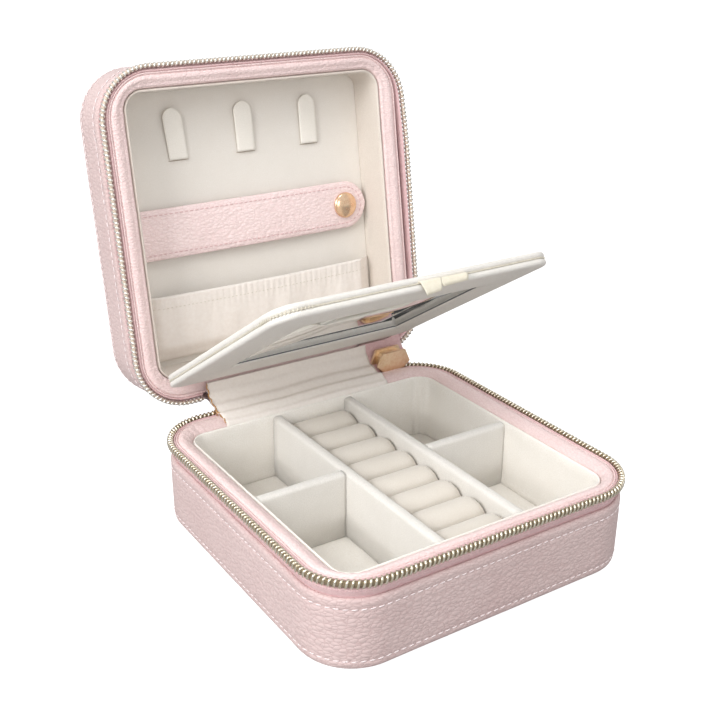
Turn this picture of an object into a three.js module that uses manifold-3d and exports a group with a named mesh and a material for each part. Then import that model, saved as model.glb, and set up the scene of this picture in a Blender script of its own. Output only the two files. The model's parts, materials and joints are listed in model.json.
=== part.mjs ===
// Square zip-around travel jewelry case, standing open: a leather-covered base with a divided tray,
// a matching lid that leans back on its fabric hinge, and a mirror flap hung between the two.
// Millimetres. Origin at the centre of the base's underside, +X to the right along the hinge,
// +Y towards the hinge, +Z up. The lid and flap are modelled closed, then turned open on their hinges.
import * as THREE from "three";
import { mergeVertices } from "three/addons/utils/BufferGeometryUtils.js";
import Module from "manifold-3d";

const wasm = await Module();
wasm.setup();

// ---- Driving dimensions ----
const CASE_WIDTH = 150;
const CASE_DEPTH = 149;
const BASE_HEIGHT = 38.7; // underside to the top of the zip teeth
const LID_HEIGHT = 31.4; // zip teeth to the outer face of the lid
const GAP = 0.3; // clearance between pieces that touch
const OPEN_ANGLE = 99; // how far the lid stands open
const FLAP_ANGLE = 32.5; // how far the open flap stands above level
const HINGE_Y = 79.5; // fold line of the leather spine
const HINGE_Z = 36.1;

// Wall build-up, as insets from the case's outline
const CORNER_RADIUS = 23.5; // at the outline
const CORNER_TIGHTENING = 1.36; // radius lost for each millimetre of inset
const CORNER_STEPS = 7; // flats in each rounded corner
const LEATHER = 2.8; // leather with its backing
const BOARD_OUTER = LEATHER + GAP;
const BOARD_INNER = 5.1;
const FOAM_OUTER = BOARD_INNER + GAP;
const FOAM_INNER = 10.3;
const LINING_OUTER = FOAM_INNER + GAP;
const LINING_INNER = 12;
const TRAY_SHIFT = -1; // the lined opening sits this far towards the front

// Heights in the base
const PANEL = 2.2; // leather-covered outer panels
const FLOOR_TOP = 4.3;
const LIP_HEIGHT = 30.2; // top of the leather wall
const TRAY_EDGE = 35.6; // top of the tray's lined wall
const DIVIDER_TOP = 34.8;

// Padded rim, outside to inside: insets, and how far each point lies below the top of the teeth
const RIM_SHOULDER = 2.2;
const RIM_CREST_START = 4.2;
const RIM_CREST_END = 6;
const RIM_CREST = 1.2;
const RIM_FALL_START = 8.6;
const RIM_FALL = 1.9;

// Zip
const TEETH_HEIGHT = 4.4;
const TEETH_PROUD = 1.2; // the teeth stand outside the outline by this much
const TEETH_INNER = 1.4;
const TAPE_OUTER = 0.9;
const TAPE_INNER = 1.8;
const ZIP_END_X = -45.2; // the open zip's left end, on the hinge side
const ZIP_SLIDER_X = 52;
const SLIDER_RELIEF = 14; // radius round the hinge line that the lid's rim leaves free for the slider
const SLIDER_RELIEF_LENGTH = 21;
const ZIP_END_ANGLE = 58; // where the teeth stop beside the slider, round the back right corner
const ZIP_MEETING_GAP = 0.4; // between the two rows of teeth when the lid is closed
const ZIP_STOP_WIDTH = 2.4;
const ZIP_STOP_FOOT = 31;
const ZIP_STOP_PROUD = 0.6;

// Tray
const DIVIDER = 4.6; // thickness
const DIVIDER_X = [-19.7, 18.7];
const CROSS_DIVIDER_Y = 1.3;
const ROLL_COUNT = 8;
const ROLL_TOP = 32;
const ROLL_GAP = 0.35;
const DIVIDER_ROUND_STEPS = 6; // flats round the top of a divider
const ROLL_ROUND_STEPS = 10;

// Lid interior, as depths from the lid's outer face
const PANEL_LINING = 9;
const LID_EDGE = 28.7; // edge of the lid's lined wall
const TAB_X = [-34.2, 0, 34.2];
const TAB_WIDTH = 9.2;
const TAB_LENGTH = 23;
const TAB_THICKNESS = 1.2;
const TAB_FOOT = 107; // tab's fixed end, measured up from the hinge edge
const STRAP_CENTRE = 75; // up from the hinge edge
const STRAP_WIDTH = 23;
const STRAP_LEFT = -62;
const STRAP_RIGHT = 61.5;
const STRAP_NEAR = 11.3;
const STRAP_THICKNESS = 1.6;
const SNAP_X = 49.5;
const SNAP_RADIUS = 6.3;
const SNAP_HEIGHT = 2.2;
const SOCKET_RADIUS = 5;
const SOCKET_DEPTH = 0.6;
const STUD_RADIUS = 4.2;
const STUD_TIP_RADIUS = 2;
const STUD_BASE = 0.5;
const STUD_HEIGHT = 0.8;
const POCKET_TOP = 47.4; // up from the hinge edge
const POCKET_FOOT = 16.4;
const POCKET_HALF_WIDTH = 61;
const POCKET_DEPTH = 6.5; // clear space inside the pocket
const POCKET_SHEET = 1;

// Mirror flap, lying closed on the tray
const FLAP_WIDTH = 129;
const FLAP_BACK = 62.6;
const FLAP_FRONT = -64;
const FLAP_RADIUS = 10;
const FLAP_BOTTOM = TRAY_EDGE + GAP;
const FLAP_SEAM = 38.7; // between the two boards
const FLAP_TOP = 41.6;
const FLAP_HINGE_Y = 63;
const FLAP_HINGE_Z = 38.8;
const WINDOW_WIDTH = 87;
const WINDOW_DEPTH = 73;
const WINDOW_BACK = 30; // from the flap's hinge edge
const MIRROR_THICKNESS = 1.5;
const RIBBON_X = 6;
const RIBBON_WIDTH = 22;
const RIBBON_THICKNESS = 0.6;

// Hinge fabrics
const FABRIC_HALF_WIDTH = 42;
const HINGE_LINING = 0.9; // thickness
const SPINE = 1.1; // thickness

// Worked-out planes of the closed lid
const LID_TEETH_Z = BASE_HEIGHT + ZIP_MEETING_GAP;
const LID_TOP_Z = LID_TEETH_Z + LID_HEIGHT;
const LID_LIP_Z = LID_TEETH_Z + (BASE_HEIGHT - LIP_HEIGHT);
const LID_LINING_Z = LID_TOP_Z - PANEL_LINING;
const BACK_Y = CASE_DEPTH / 2;

const radians = THREE.MathUtils.degToRad;

// ---- Materials ----
const material = (color, roughness, metalness = 0) =>
  new THREE.MeshStandardMaterial({ color, roughness, metalness });
const PINK_LEATHER = material(0xedcfcf, 0.5);
const PINK_TAPE = material(0xe3b0b2, 0.8);
const BRASS_TEETH = material(0xcbbf9c, 0.3, 1);
const GOLD = material(0xd9a878, 0.25, 1);
const VELVET = material(0xe6dfd5, 0.95);
const SUEDE = material(0xdad5cd, 0.95);
const LINING_CLOTH = material(0xeae0d6, 0.9);
const CREAM_RIBBON = material(0xf6efdf, 0.45);
const GREYBOARD = material(0xb5ab9c, 0.9);
const FOAM = material(0xf1ede4, 0.9);
const MIRROR_GLASS = material(0xe8ecee, 0.03, 1);

// ---- Groups ----
const root = new THREE.Group();
const lidPivot = new THREE.Group();
lidPivot.position.set(0, HINGE_Y, HINGE_Z);
lidPivot.rotation.x = -radians(OPEN_ANGLE);
const lid = new THREE.Group();
lid.position.set(0, -HINGE_Y, -HINGE_Z);
lidPivot.add(lid);
const flapPivot = new THREE.Group();
flapPivot.position.set(0, FLAP_HINGE_Y, FLAP_HINGE_Z);
flapPivot.rotation.x = radians(OPEN_ANGLE - FLAP_ANGLE);
const flap = new THREE.Group();
flap.position.set(0, -FLAP_HINGE_Y, -FLAP_HINGE_Z);
flapPivot.add(flap);
lid.add(flapPivot);
root.add(lidPivot);

function addMesh(group, name, geometry, look) {
  const mesh = new THREE.Mesh(geometry, look);
  mesh.name = name;
  group.add(mesh);
  return mesh;
}

// ---- Shape helpers ----
const cornerRadius = (inset) => CORNER_RADIUS - CORNER_TIGHTENING * inset;

// Points anticlockwise round a rounded rectangle, starting on its back edge left of centre.
// open = { startX, endAngle } leaves a gap along the back, from startX to an angle in the last corner.
function outlinePoints(halfWidth, halfDepth, radius, shift, open) {
  const centres = [[-1, 1, 90], [-1, -1, 180], [1, -1, 270], [1, 1, 0]];
  const points = [];
  if (open) points.push([open.startX, halfDepth + shift]);
  centres.forEach(([sx, sy, start], corner) => {
    const last = corner === centres.length - 1;
    const sweep = open && last ? open.endAngle : 90;
    for (let i = 0; i <= CORNER_STEPS; i += 1) {
      const angle = radians(start + (sweep * i) / CORNER_STEPS);
      points.push([
        sx * (halfWidth - radius) + radius * Math.cos(angle),
        sy * (halfDepth - radius) + shift + radius * Math.sin(angle),
      ]);
    }
  });
  return points;
}

function caseOutline(inset, shift = 0, open = null) {
  return outlinePoints(CASE_WIDTH / 2 - inset, CASE_DEPTH / 2 - inset, cornerRadius(inset), shift, open);
}

// A closed surface from rings of points: walls between neighbouring rings, and from the last ring to
// the first. The rings are closed loops, or open strands whose two ends get flat caps.
function loftGeometry(rings, open) {
  const count = rings[0].length;
  const positions = rings.flat(2);
  const index = [];
  const spans = open ? count - 1 : count;
  for (let r = 0; r < rings.length; r += 1) {
    const here = r * count;
    const next = ((r + 1) % rings.length) * count;
    for (let i = 0; i < spans; i += 1) {
      const j = (i + 1) % count;
      index.push(here + i, here + j, next + j, here + i, next + j, next + i);
    }
  }
  if (open) {
    capEnd(rings, 0, index, false);
    capEnd(rings, count - 1, index, true);
  }
  const geometry = new THREE.BufferGeometry();
  geometry.setAttribute("position", new THREE.Float32BufferAttribute(positions, 3));
  geometry.setIndex(index);
  return facingOut(geometry);
}

// Fills the flat end where every ring has its point number "at", as a fan from the first ring.
function capEnd(rings, at, index, flipped) {
  const count = rings[0].length;
  for (let r = 1; r < rings.length - 1; r += 1) {
    const corner = [at, r * count + at, (r + 1) * count + at];
    if (flipped) corner.reverse();
    index.push(...corner);
  }
}

function signedVolume(geometry) {
  const p = geometry.getAttribute("position");
  const index = geometry.index.array;
  const [a, b, c] = [new THREE.Vector3(), new THREE.Vector3(), new THREE.Vector3()];
  let sum = 0;
  for (let i = 0; i < index.length; i += 3) {
    a.fromBufferAttribute(p, index[i]);
    b.fromBufferAttribute(p, index[i + 1]);
    c.fromBufferAttribute(p, index[i + 2]);
    sum += a.dot(b.cross(c));
  }
  return sum;
}

// Turns every face round where the surface came out inside out.
function facingOut(geometry) {
  if (signedVolume(geometry) > 0) return geometry;
  const index = geometry.index.array;
  for (let i = 0; i < index.length; i += 3) {
    [index[i + 1], index[i + 2]] = [index[i + 2], index[i + 1]];
  }
  return geometry;
}

// A wall that runs round the case: profile is a convex outline of [inset, z, shift] points.
function wallGeometry(profile, open = null) {
  const rings = profile.map(([inset, z, shift = 0]) =>
    caseOutline(inset, shift, open).map(([x, y]) => [x, y, z]),
  );
  return loftGeometry(rings, Boolean(open));
}

// A wall of plain rectangular section.
function ringGeometry(outer, inner, low, high, shift = 0, open = null) {
  const profile = [[outer, low, shift], [outer, high, shift], [inner, high, shift], [inner, low, shift]];
  return wallGeometry(profile, open);
}

function shapeOf(points) {
  return new THREE.Shape(points.map(([x, y]) => new THREE.Vector2(x, y)));
}

function plateGeometry(points, low, high, hole = null) {
  const shape = shapeOf(points);
  if (hole) shape.holes.push(shapeOf(hole));
  return new THREE.ExtrudeGeometry(shape, { depth: high - low, bevelEnabled: false }).translate(0, 0, low);
}

function boxGeometry(x0, x1, y0, y1, z0, z1) {
  return new THREE.BoxGeometry(x1 - x0, y1 - y0, z1 - z0).translate(
    (x0 + x1) / 2,
    (y0 + y1) / 2,
    (z0 + z1) / 2,
  );
}

// An upright slab of the given thickness with a half-round top, as points [across, up].
function roundTopProfile(thickness, low, high, steps) {
  const radius = thickness / 2;
  const points = [[-radius, low], [radius, low]];
  for (let i = 0; i <= steps; i += 1) {
    const angle = (Math.PI * i) / steps;
    points.push([radius * Math.cos(angle), high - radius + radius * Math.sin(angle)]);
  }
  return points;
}

// Extrudes an [across, up] profile along X or along Y, centred on the given place across.
function extrudeAlong(axis, profile, from, to, across) {
  const along = new THREE.ExtrudeGeometry(shapeOf(profile), { depth: to - from, bevelEnabled: false });
  along.translate(0, 0, from);
  if (axis === "x") {
    along.applyMatrix4(new THREE.Matrix4().set(0, 0, 1, 0, 1, 0, 0, across, 0, 1, 0, 0, 0, 0, 0, 1));
    return along;
  }
  return along.applyMatrix4(new THREE.Matrix4().set(-1, 0, 0, across, 0, 0, 1, 0, 0, 1, 0, 0, 0, 0, 0, 1));
}

// A hinge fabric of even thickness through [y, z] points, as wide as the two fabrics are along X.
function sheetGeometry(route, thickness) {
  const curve = new THREE.CatmullRomCurve3(route.map(([y, z]) => new THREE.Vector3(0, y, z)));
  const steps = (route.length - 1) * 4;
  const near = [];
  const far = [];
  for (let i = 0; i <= steps; i += 1) {
    const point = curve.getPoint(i / steps);
    const along = curve.getTangent(i / steps);
    near.push([point.y, point.z]);
    far.push([point.y - along.z * thickness, point.z + along.y * thickness]);
  }
  const shape = shapeOf([...near, ...far.reverse()]);
  const depth = 2 * FABRIC_HALF_WIDTH;
  const sheet = new THREE.ExtrudeGeometry(shape, { depth, bevelEnabled: false });
  sheet.translate(0, 0, -FABRIC_HALF_WIDTH);
  return sheet.applyMatrix4(new THREE.Matrix4().set(0, 0, 1, 0, 1, 0, 0, 0, 0, 1, 0, 0, 0, 0, 0, 1));
}

function solidOf(geometry) {
  const bare = geometry.clone();
  bare.deleteAttribute("normal");
  bare.deleteAttribute("uv");
  const merged = mergeVertices(bare, 1e-4);
  const vertProperties = new Float32Array(merged.getAttribute("position").array);
  const triVerts = new Uint32Array(merged.index.array);
  return new wasm.Manifold(new wasm.Mesh({ numProp: 3, vertProperties, triVerts }));
}

function geometryOf(solid) {
  const mesh = solid.getMesh();
  const geometry = new THREE.BufferGeometry();
  geometry.setAttribute("position", new THREE.BufferAttribute(new Float32Array(mesh.vertProperties), 3));
  geometry.setIndex(new THREE.BufferAttribute(new Uint32Array(mesh.triVerts), 1));
  return geometry;
}

const joined = (...parts) => geometryOf(parts.map(solidOf).reduce((whole, part) => whole.add(part)));
const cut = (whole, hole) => geometryOf(solidOf(whole).subtract(solidOf(hole)));

// ---- Pieces that the base and the lid share ----
// up is +1 for the base, whose zip is at its top, and -1 for the lid, whose zip is at its bottom.
// relief, where given, is cut out of the padded rim.
function halfShell(name, { group, up, panelZ, teethZ, lipZ, innerZ, edgeZ, floorZ, look, relief }) {
  const z = (from, height) => from + up * height;
  const ordered = (a, b) => [Math.min(a, b), Math.max(a, b)];
  const ring = (outer, inner, a, b, shift, open) =>
    ringGeometry(outer, inner, ...ordered(a, b), shift, open);
  const zipRun = { startX: ZIP_END_X, endAngle: ZIP_END_ANGLE };
  const wallFoot = z(panelZ, PANEL + GAP);
  addMesh(group, `${name}_${up > 0 ? "bottom" : "top"}_panel`,
    plateGeometry(caseOutline(0), ...ordered(panelZ, z(panelZ, PANEL))), PINK_LEATHER);
  addMesh(group, `${name}_outer_wall`, ring(0, LEATHER, wallFoot, lipZ), PINK_LEATHER);
  addMesh(group, `${name}_wall_board`, ring(BOARD_OUTER, BOARD_INNER, innerZ, lipZ), GREYBOARD);
  addMesh(group, `${name}_wall_foam`,
    wallGeometry([[FOAM_OUTER, innerZ], [FOAM_OUTER, lipZ], [FOAM_INNER, lipZ, TRAY_SHIFT],
      [FOAM_INNER, innerZ, TRAY_SHIFT]]), FOAM);
  addMesh(group, `${name}_wall_lining`,
    ring(LINING_OUTER, LINING_INNER, innerZ, edgeZ, TRAY_SHIFT), look);
  addMesh(group, `${name}_${up > 0 ? "floor" : "panel"}_lining`,
    plateGeometry(caseOutline(BOARD_OUTER), ...ordered(wallFoot, floorZ)), look);
  addMesh(group, `${name}_zip_tape`,
    ring(TAPE_OUTER, TAPE_INNER, z(lipZ, GAP), z(teethZ, -TEETH_HEIGHT - GAP), 0, zipRun), PINK_TAPE);
  addMesh(group, `${name}_zip_teeth`,
    ring(-TEETH_PROUD, TEETH_INNER, z(teethZ, -TEETH_HEIGHT), teethZ, 0, zipRun), BRASS_TEETH);
  const rim = paddedRim(z(lipZ, 2 * GAP), edgeZ, teethZ, up);
  addMesh(group, `${name}_padded_rim`, relief ? cut(rim, relief) : rim, PINK_LEATHER);
}

// The padded leather rim: highest near the zip, falling to the lined edge.
function paddedRim(footZ, edgeZ, teethZ, up) {
  return wallGeometry([
    [BOARD_OUTER, footZ],
    [BOARD_OUTER, teethZ - up * RIM_SHOULDER],
    [RIM_CREST_START, teethZ - up * RIM_CREST],
    [RIM_CREST_END, teethZ - up * RIM_CREST, TRAY_SHIFT / 2],
    [RIM_FALL_START, teethZ - up * RIM_FALL, TRAY_SHIFT],
    [FOAM_INNER, edgeZ + up * GAP, TRAY_SHIFT],
    [FOAM_INNER, footZ, TRAY_SHIFT],
  ]);
}

// The room that the zip slider sweeps through, seen from the lid as it turns.
function sliderRelief() {
  return new THREE.CylinderGeometry(SLIDER_RELIEF, SLIDER_RELIEF, SLIDER_RELIEF_LENGTH, 40)
    .rotateZ(Math.PI / 2)
    .translate(ZIP_SLIDER_X, HINGE_Y, HINGE_Z);
}

halfShell("base", {
  group: root,
  up: 1,
  panelZ: 0,
  teethZ: BASE_HEIGHT,
  lipZ: LIP_HEIGHT,
  innerZ: FLOOR_TOP + GAP,
  edgeZ: TRAY_EDGE,
  floorZ: FLOOR_TOP,
  look: VELVET,
});
halfShell("lid", {
  group: lid,
  up: -1,
  panelZ: LID_TOP_Z,
  teethZ: LID_TEETH_Z,
  lipZ: LID_LIP_Z,
  innerZ: LID_LINING_Z - GAP,
  edgeZ: LID_TOP_Z - LID_EDGE,
  floorZ: LID_LINING_Z,
  look: SUEDE,
  relief: sliderRelief(),
});

// ---- Tray dividers and ring rolls ----
const TRAY_FOOT = FLOOR_TOP + GAP;
const TRAY_BACK = BACK_Y - LINING_INNER + TRAY_SHIFT - GAP;
const TRAY_FRONT = -BACK_Y + LINING_INNER + TRAY_SHIFT + GAP;
const TRAY_SIDE = CASE_WIDTH / 2 - LINING_INNER - GAP;

function addDividers() {
  const tall = roundTopProfile(DIVIDER, TRAY_FOOT, DIVIDER_TOP, DIVIDER_ROUND_STEPS);
  const sides = ["left", "right"];
  sides.forEach((side, i) => {
    addMesh(root, `long_divider_${side}`,
      extrudeAlong("y", tall, TRAY_FRONT, TRAY_BACK, DIVIDER_X[i]), VELVET);
    const sign = i === 0 ? -1 : 1;
    const near = DIVIDER_X[i] + sign * (DIVIDER / 2 + GAP);
    const [from, to] = i === 0 ? [-TRAY_SIDE, near] : [near, TRAY_SIDE];
    addMesh(root, `cross_divider_${side}`, extrudeAlong("x", tall, from, to, CROSS_DIVIDER_Y), VELVET);
  });
}

function addRingRolls() {
  const pitch = (TRAY_BACK - TRAY_FRONT) / ROLL_COUNT;
  const profile = roundTopProfile(pitch - ROLL_GAP, TRAY_FOOT, ROLL_TOP, ROLL_ROUND_STEPS);
  const from = DIVIDER_X[0] + DIVIDER / 2 + GAP;
  const to = DIVIDER_X[1] - DIVIDER / 2 - GAP;
  for (let i = 0; i < ROLL_COUNT; i += 1) {
    const centre = TRAY_BACK - pitch * (i + 0.5);
    addMesh(root, `ring_roll_${i + 1}`, extrudeAlong("x", profile, from, to, centre), VELVET);
  }
}

addDividers();
addRingRolls();

// ---- Zip slider, its pull and the stop at the other end ----
const SLIDER_LENGTH = 19;
const SLIDER_HEIGHT = 9.6;
const SLIDER_Z = 42; // middle of the slider
const WING = 1.3; // thickness of each of the slider's two plates
const WING_INNER_Y = 71.3;
const WING_OUTER_Y = 77.4;
const BRIDGE_HALF_LENGTH = 2; // the post that joins the two plates
const BRIDGE_HALF_HEIGHT = 1.5;
const BAIL = 0.8; // radius of the bail's bar
const EAR_HALF_THICKNESS = 0.6;
const LOOP_OUTER = 2.1; // radius of the pull's loop round that bar
const LOOP_CLEARANCE = 0.4;
const PULL_Y = WING_OUTER_Y + WING + LOOP_OUTER + LOOP_CLEARANCE;
const PULL_PIVOT_Z = 35.5;
const PULL_LENGTH = 26;
const PULL_TAPER = 3; // length of the pull's narrowing tip
const PULL_WIDTH = 7;
const PULL_THICKNESS = 1.4;

// Six-sided plate of the slider, blunt at both ends, standing in the XZ plane.
function sliderWing(y) {
  const half = SLIDER_LENGTH / 2;
  const side = SLIDER_HEIGHT / 2;
  const points = [[-half, -side * 0.35], [-half * 0.62, -side], [half * 0.62, -side],
    [half, -side * 0.35], [half * 0.7, side], [-half * 0.7, side]];
  const plate = new THREE.ExtrudeGeometry(shapeOf(points), { depth: WING, bevelEnabled: false });
  return plate.rotateX(Math.PI / 2).translate(ZIP_SLIDER_X, y + WING, SLIDER_Z);
}

// One of the two ears that hold the bail's bar behind the slider.
function sliderEar(side) {
  const x = ZIP_SLIDER_X + side * (PULL_WIDTH / 2 + 1);
  const top = SLIDER_Z - SLIDER_HEIGHT / 2 + BRIDGE_HALF_HEIGHT;
  return boxGeometry(x - EAR_HALF_THICKNESS, x + EAR_HALF_THICKNESS,
    WING_OUTER_Y + WING / 2, PULL_Y + BAIL, PULL_PIVOT_Z - BAIL, top);
}

function addSlider() {
  const bridge = boxGeometry(ZIP_SLIDER_X - BRIDGE_HALF_LENGTH, ZIP_SLIDER_X + BRIDGE_HALF_LENGTH,
    WING_INNER_Y + WING / 2, WING_OUTER_Y + WING / 2,
    SLIDER_Z - BRIDGE_HALF_HEIGHT, SLIDER_Z + BRIDGE_HALF_HEIGHT);
  const bar = new THREE.CylinderGeometry(BAIL, BAIL, PULL_WIDTH + 2, 12)
    .rotateZ(Math.PI / 2)
    .translate(ZIP_SLIDER_X, PULL_Y, PULL_PIVOT_Z);
  const wings = [sliderWing(WING_INNER_Y), sliderWing(WING_OUTER_Y)];
  addMesh(root, "zip_slider", joined(...wings, bridge, bar, sliderEar(-1), sliderEar(1)), GOLD);
}

// The pull hangs from the bail's bar: a tapered plate under a loop that goes round the bar.
function addPull() {
  const half = PULL_WIDTH / 2 - LOOP_CLEARANCE;
  const loopSection = new THREE.Shape().absarc(0, 0, LOOP_OUTER, 0, 2 * Math.PI, false);
  loopSection.holes.push(new THREE.Path().absarc(0, 0, BAIL + LOOP_CLEARANCE, 0, 2 * Math.PI, true));
  const loop = new THREE.ExtrudeGeometry(loopSection, {
    depth: 2 * half, bevelEnabled: false, curveSegments: 8,
  });
  loop.translate(0, 0, -half).rotateY(Math.PI / 2);
  const top = LOOP_CLEARANCE - LOOP_OUTER;
  const shoulder = PULL_TAPER - PULL_LENGTH;
  const blade = shapeOf([[-half, top], [half, top], [half, shoulder],
    [half / 2, -PULL_LENGTH], [-half / 2, -PULL_LENGTH], [-half, shoulder]]);
  const plate = new THREE.ExtrudeGeometry(blade, { depth: PULL_THICKNESS, bevelEnabled: false });
  plate.rotateX(Math.PI / 2).translate(0, PULL_THICKNESS / 2, 0);
  addMesh(root, "zip_pull", joined(loop, plate), GOLD).position.set(ZIP_SLIDER_X, PULL_Y, PULL_PIVOT_Z);
}

function addEndStop() {
  const x = ZIP_END_X + GAP;
  const stop = boxGeometry(x, x + ZIP_STOP_WIDTH, BACK_Y - ZIP_STOP_WIDTH, BACK_Y + ZIP_STOP_PROUD,
    ZIP_STOP_FOOT, BASE_HEIGHT);
  addMesh(root, "zip_end_stop", stop, GOLD);
}

addSlider();
addPull();
addEndStop();

// ---- Hinge fabrics ----
const HINGE_LINING_ROUTE = [[63.4, 36.6], [67, 38.2], [71.5, 38.2], [76, 39.6], [80.4, 42.4], [82, 46.6]];
const SPINE_ROUTE = [[75.2, 22], [75.2, 30], [76.6, 34], [80.4, 37], [86, 38.4], [98, 36.6]];
addMesh(root, "hinge_lining", sheetGeometry(HINGE_LINING_ROUTE, HINGE_LINING), LINING_CLOTH);
addMesh(root, "leather_spine", sheetGeometry(SPINE_ROUTE, -SPINE), PINK_LEATHER);

// ---- Lid interior ----
// Places in the closed lid: across is X, up is measured from the hinge edge, depth from the outer face.
const lidY = (up) => BACK_Y - up;
const lidZ = (depth) => LID_TOP_Z - depth;

function addNecklaceTabs() {
  const half = TAB_WIDTH / 2;
  TAB_X.forEach((x, i) => {
    const shape = new THREE.Shape();
    shape.moveTo(x + half, lidY(TAB_FOOT));
    shape.lineTo(x + half, lidY(TAB_FOOT + TAB_LENGTH - half));
    shape.absarc(x, lidY(TAB_FOOT + TAB_LENGTH - half), half, 0, -Math.PI, true);
    shape.lineTo(x - half, lidY(TAB_FOOT));
    const tab = new THREE.ExtrudeGeometry(shape, {
      depth: TAB_THICKNESS, bevelEnabled: false, curveSegments: 10,
    });
    tab.translate(0, 0, lidZ(PANEL_LINING + GAP + TAB_THICKNESS));
    addMesh(lid, `necklace_tab_${i + 1}`, tab, SUEDE);
  });
}

function addStrap() {
  const half = STRAP_WIDTH / 2;
  const centreY = lidY(STRAP_CENTRE);
  const shape = new THREE.Shape();
  shape.moveTo(STRAP_LEFT, centreY - half);
  shape.lineTo(STRAP_RIGHT - half, centreY - half);
  shape.absarc(STRAP_RIGHT - half, centreY, half, -Math.PI / 2, Math.PI / 2, false);
  shape.lineTo(STRAP_LEFT, centreY + half);
  const strap = new THREE.ExtrudeGeometry(shape, {
    depth: STRAP_THICKNESS, bevelEnabled: false, curveSegments: 12,
  });
  strap.translate(0, 0, lidZ(STRAP_NEAR + STRAP_THICKNESS));
  addMesh(lid, "jewelry_strap", strap, PINK_LEATHER);
}

// Turned piece of the snap fastener: the profile's points are [radius, depth from the lid's outer face].
function snapPiece(name, profile) {
  const turned = new THREE.LatheGeometry(profile.map(([r, d]) => new THREE.Vector2(r, -d)), 24);
  turned.rotateX(Math.PI / 2);
  const geometry = facingOut(mergeVertices(stripped(turned), 1e-4));
  addMesh(lid, name, geometry, GOLD).position.set(SNAP_X, lidY(STRAP_CENTRE), LID_TOP_Z);
}

function stripped(geometry) {
  geometry.deleteAttribute("normal");
  geometry.deleteAttribute("uv");
  return geometry;
}

function addSnap() {
  const foot = STRAP_NEAR + STRAP_THICKNESS + GAP;
  const top = foot + SNAP_HEIGHT;
  snapPiece("snap_cap", [[0, foot], [SNAP_RADIUS, foot], [SNAP_RADIUS, foot + SNAP_HEIGHT * 0.25],
    [SNAP_RADIUS * 0.86, foot + SNAP_HEIGHT * 0.6], [SNAP_RADIUS * 0.55, foot + SNAP_HEIGHT * 0.86],
    [0, top]]);
  const socketTop = STRAP_NEAR - GAP;
  const socketFoot = socketTop - SOCKET_DEPTH;
  snapPiece("snap_socket", [[0, socketFoot], [SOCKET_RADIUS, socketFoot],
    [SOCKET_RADIUS, socketTop], [0, socketTop]]);
  const studFoot = PANEL_LINING + GAP;
  const studTop = studFoot + STUD_HEIGHT;
  snapPiece("snap_stud", [[0, studFoot], [STUD_RADIUS, studFoot], [STUD_RADIUS, studFoot + STUD_BASE],
    [STUD_TIP_RADIUS, studTop], [0, studTop]]);
}

// A shallow pouch: a front sheet joined to the panel along its foot and both sides, open at the top.
function addPocket() {
  const front = PANEL_LINING + GAP + POCKET_DEPTH + POCKET_SHEET;
  const outer = boxGeometry(-POCKET_HALF_WIDTH, POCKET_HALF_WIDTH, lidY(POCKET_TOP), lidY(POCKET_FOOT),
    lidZ(front), lidZ(PANEL_LINING + GAP));
  const side = POCKET_HALF_WIDTH - POCKET_SHEET;
  const inner = boxGeometry(-side, side, lidY(POCKET_TOP + GAP), lidY(POCKET_FOOT + POCKET_SHEET),
    lidZ(front - POCKET_SHEET), lidZ(PANEL_LINING));
  addMesh(lid, "elastic_pocket", cut(outer, inner), LINING_CLOTH);
}

addNecklaceTabs();
addStrap();
addSnap();
addPocket();

// ---- Mirror flap ----
function addFlap() {
  const depth = FLAP_BACK - FLAP_FRONT;
  const middle = (FLAP_BACK + FLAP_FRONT) / 2;
  const outline = outlinePoints(FLAP_WIDTH / 2, depth / 2, FLAP_RADIUS, middle, null);
  const back = FLAP_BACK - WINDOW_BACK;
  const windowPoints = (grow) => [
    [-WINDOW_WIDTH / 2 - grow, back - WINDOW_DEPTH - grow],
    [WINDOW_WIDTH / 2 + grow, back - WINDOW_DEPTH - grow],
    [WINDOW_WIDTH / 2 + grow, back + grow],
    [-WINDOW_WIDTH / 2 - grow, back + grow],
  ];
  addMesh(flap, "flap_top_board", plateGeometry(outline, FLAP_SEAM + GAP, FLAP_TOP), SUEDE);
  addMesh(flap, "flap_mirror_frame",
    plateGeometry(outline, FLAP_BOTTOM, FLAP_SEAM, windowPoints(0)), SUEDE);
  addMesh(flap, "mirror",
    plateGeometry(windowPoints(-GAP), FLAP_SEAM - MIRROR_THICKNESS, FLAP_SEAM), MIRROR_GLASS);
  addMesh(flap, "ribbon_tab",
    boxGeometry(RIBBON_X - RIBBON_WIDTH / 2, RIBBON_X + RIBBON_WIDTH / 2,
      FLAP_FRONT - GAP - RIBBON_THICKNESS, FLAP_FRONT - GAP,
      FLAP_BOTTOM, FLAP_TOP - GAP), CREAM_RIBBON);
}

addFlap();

export default root;
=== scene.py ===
"""Looks of a square zip-around travel jewelry case that stands open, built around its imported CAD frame.

Pieces are modelled in millimetres where they lie in the closed case, then turned open with the lid or
the mirror flap and scaled to metres, so one description serves the base and the lid.
"""
import json
import math

import bmesh
import bpy
import numpy as np
from mathutils import Matrix, Vector, noise


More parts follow.
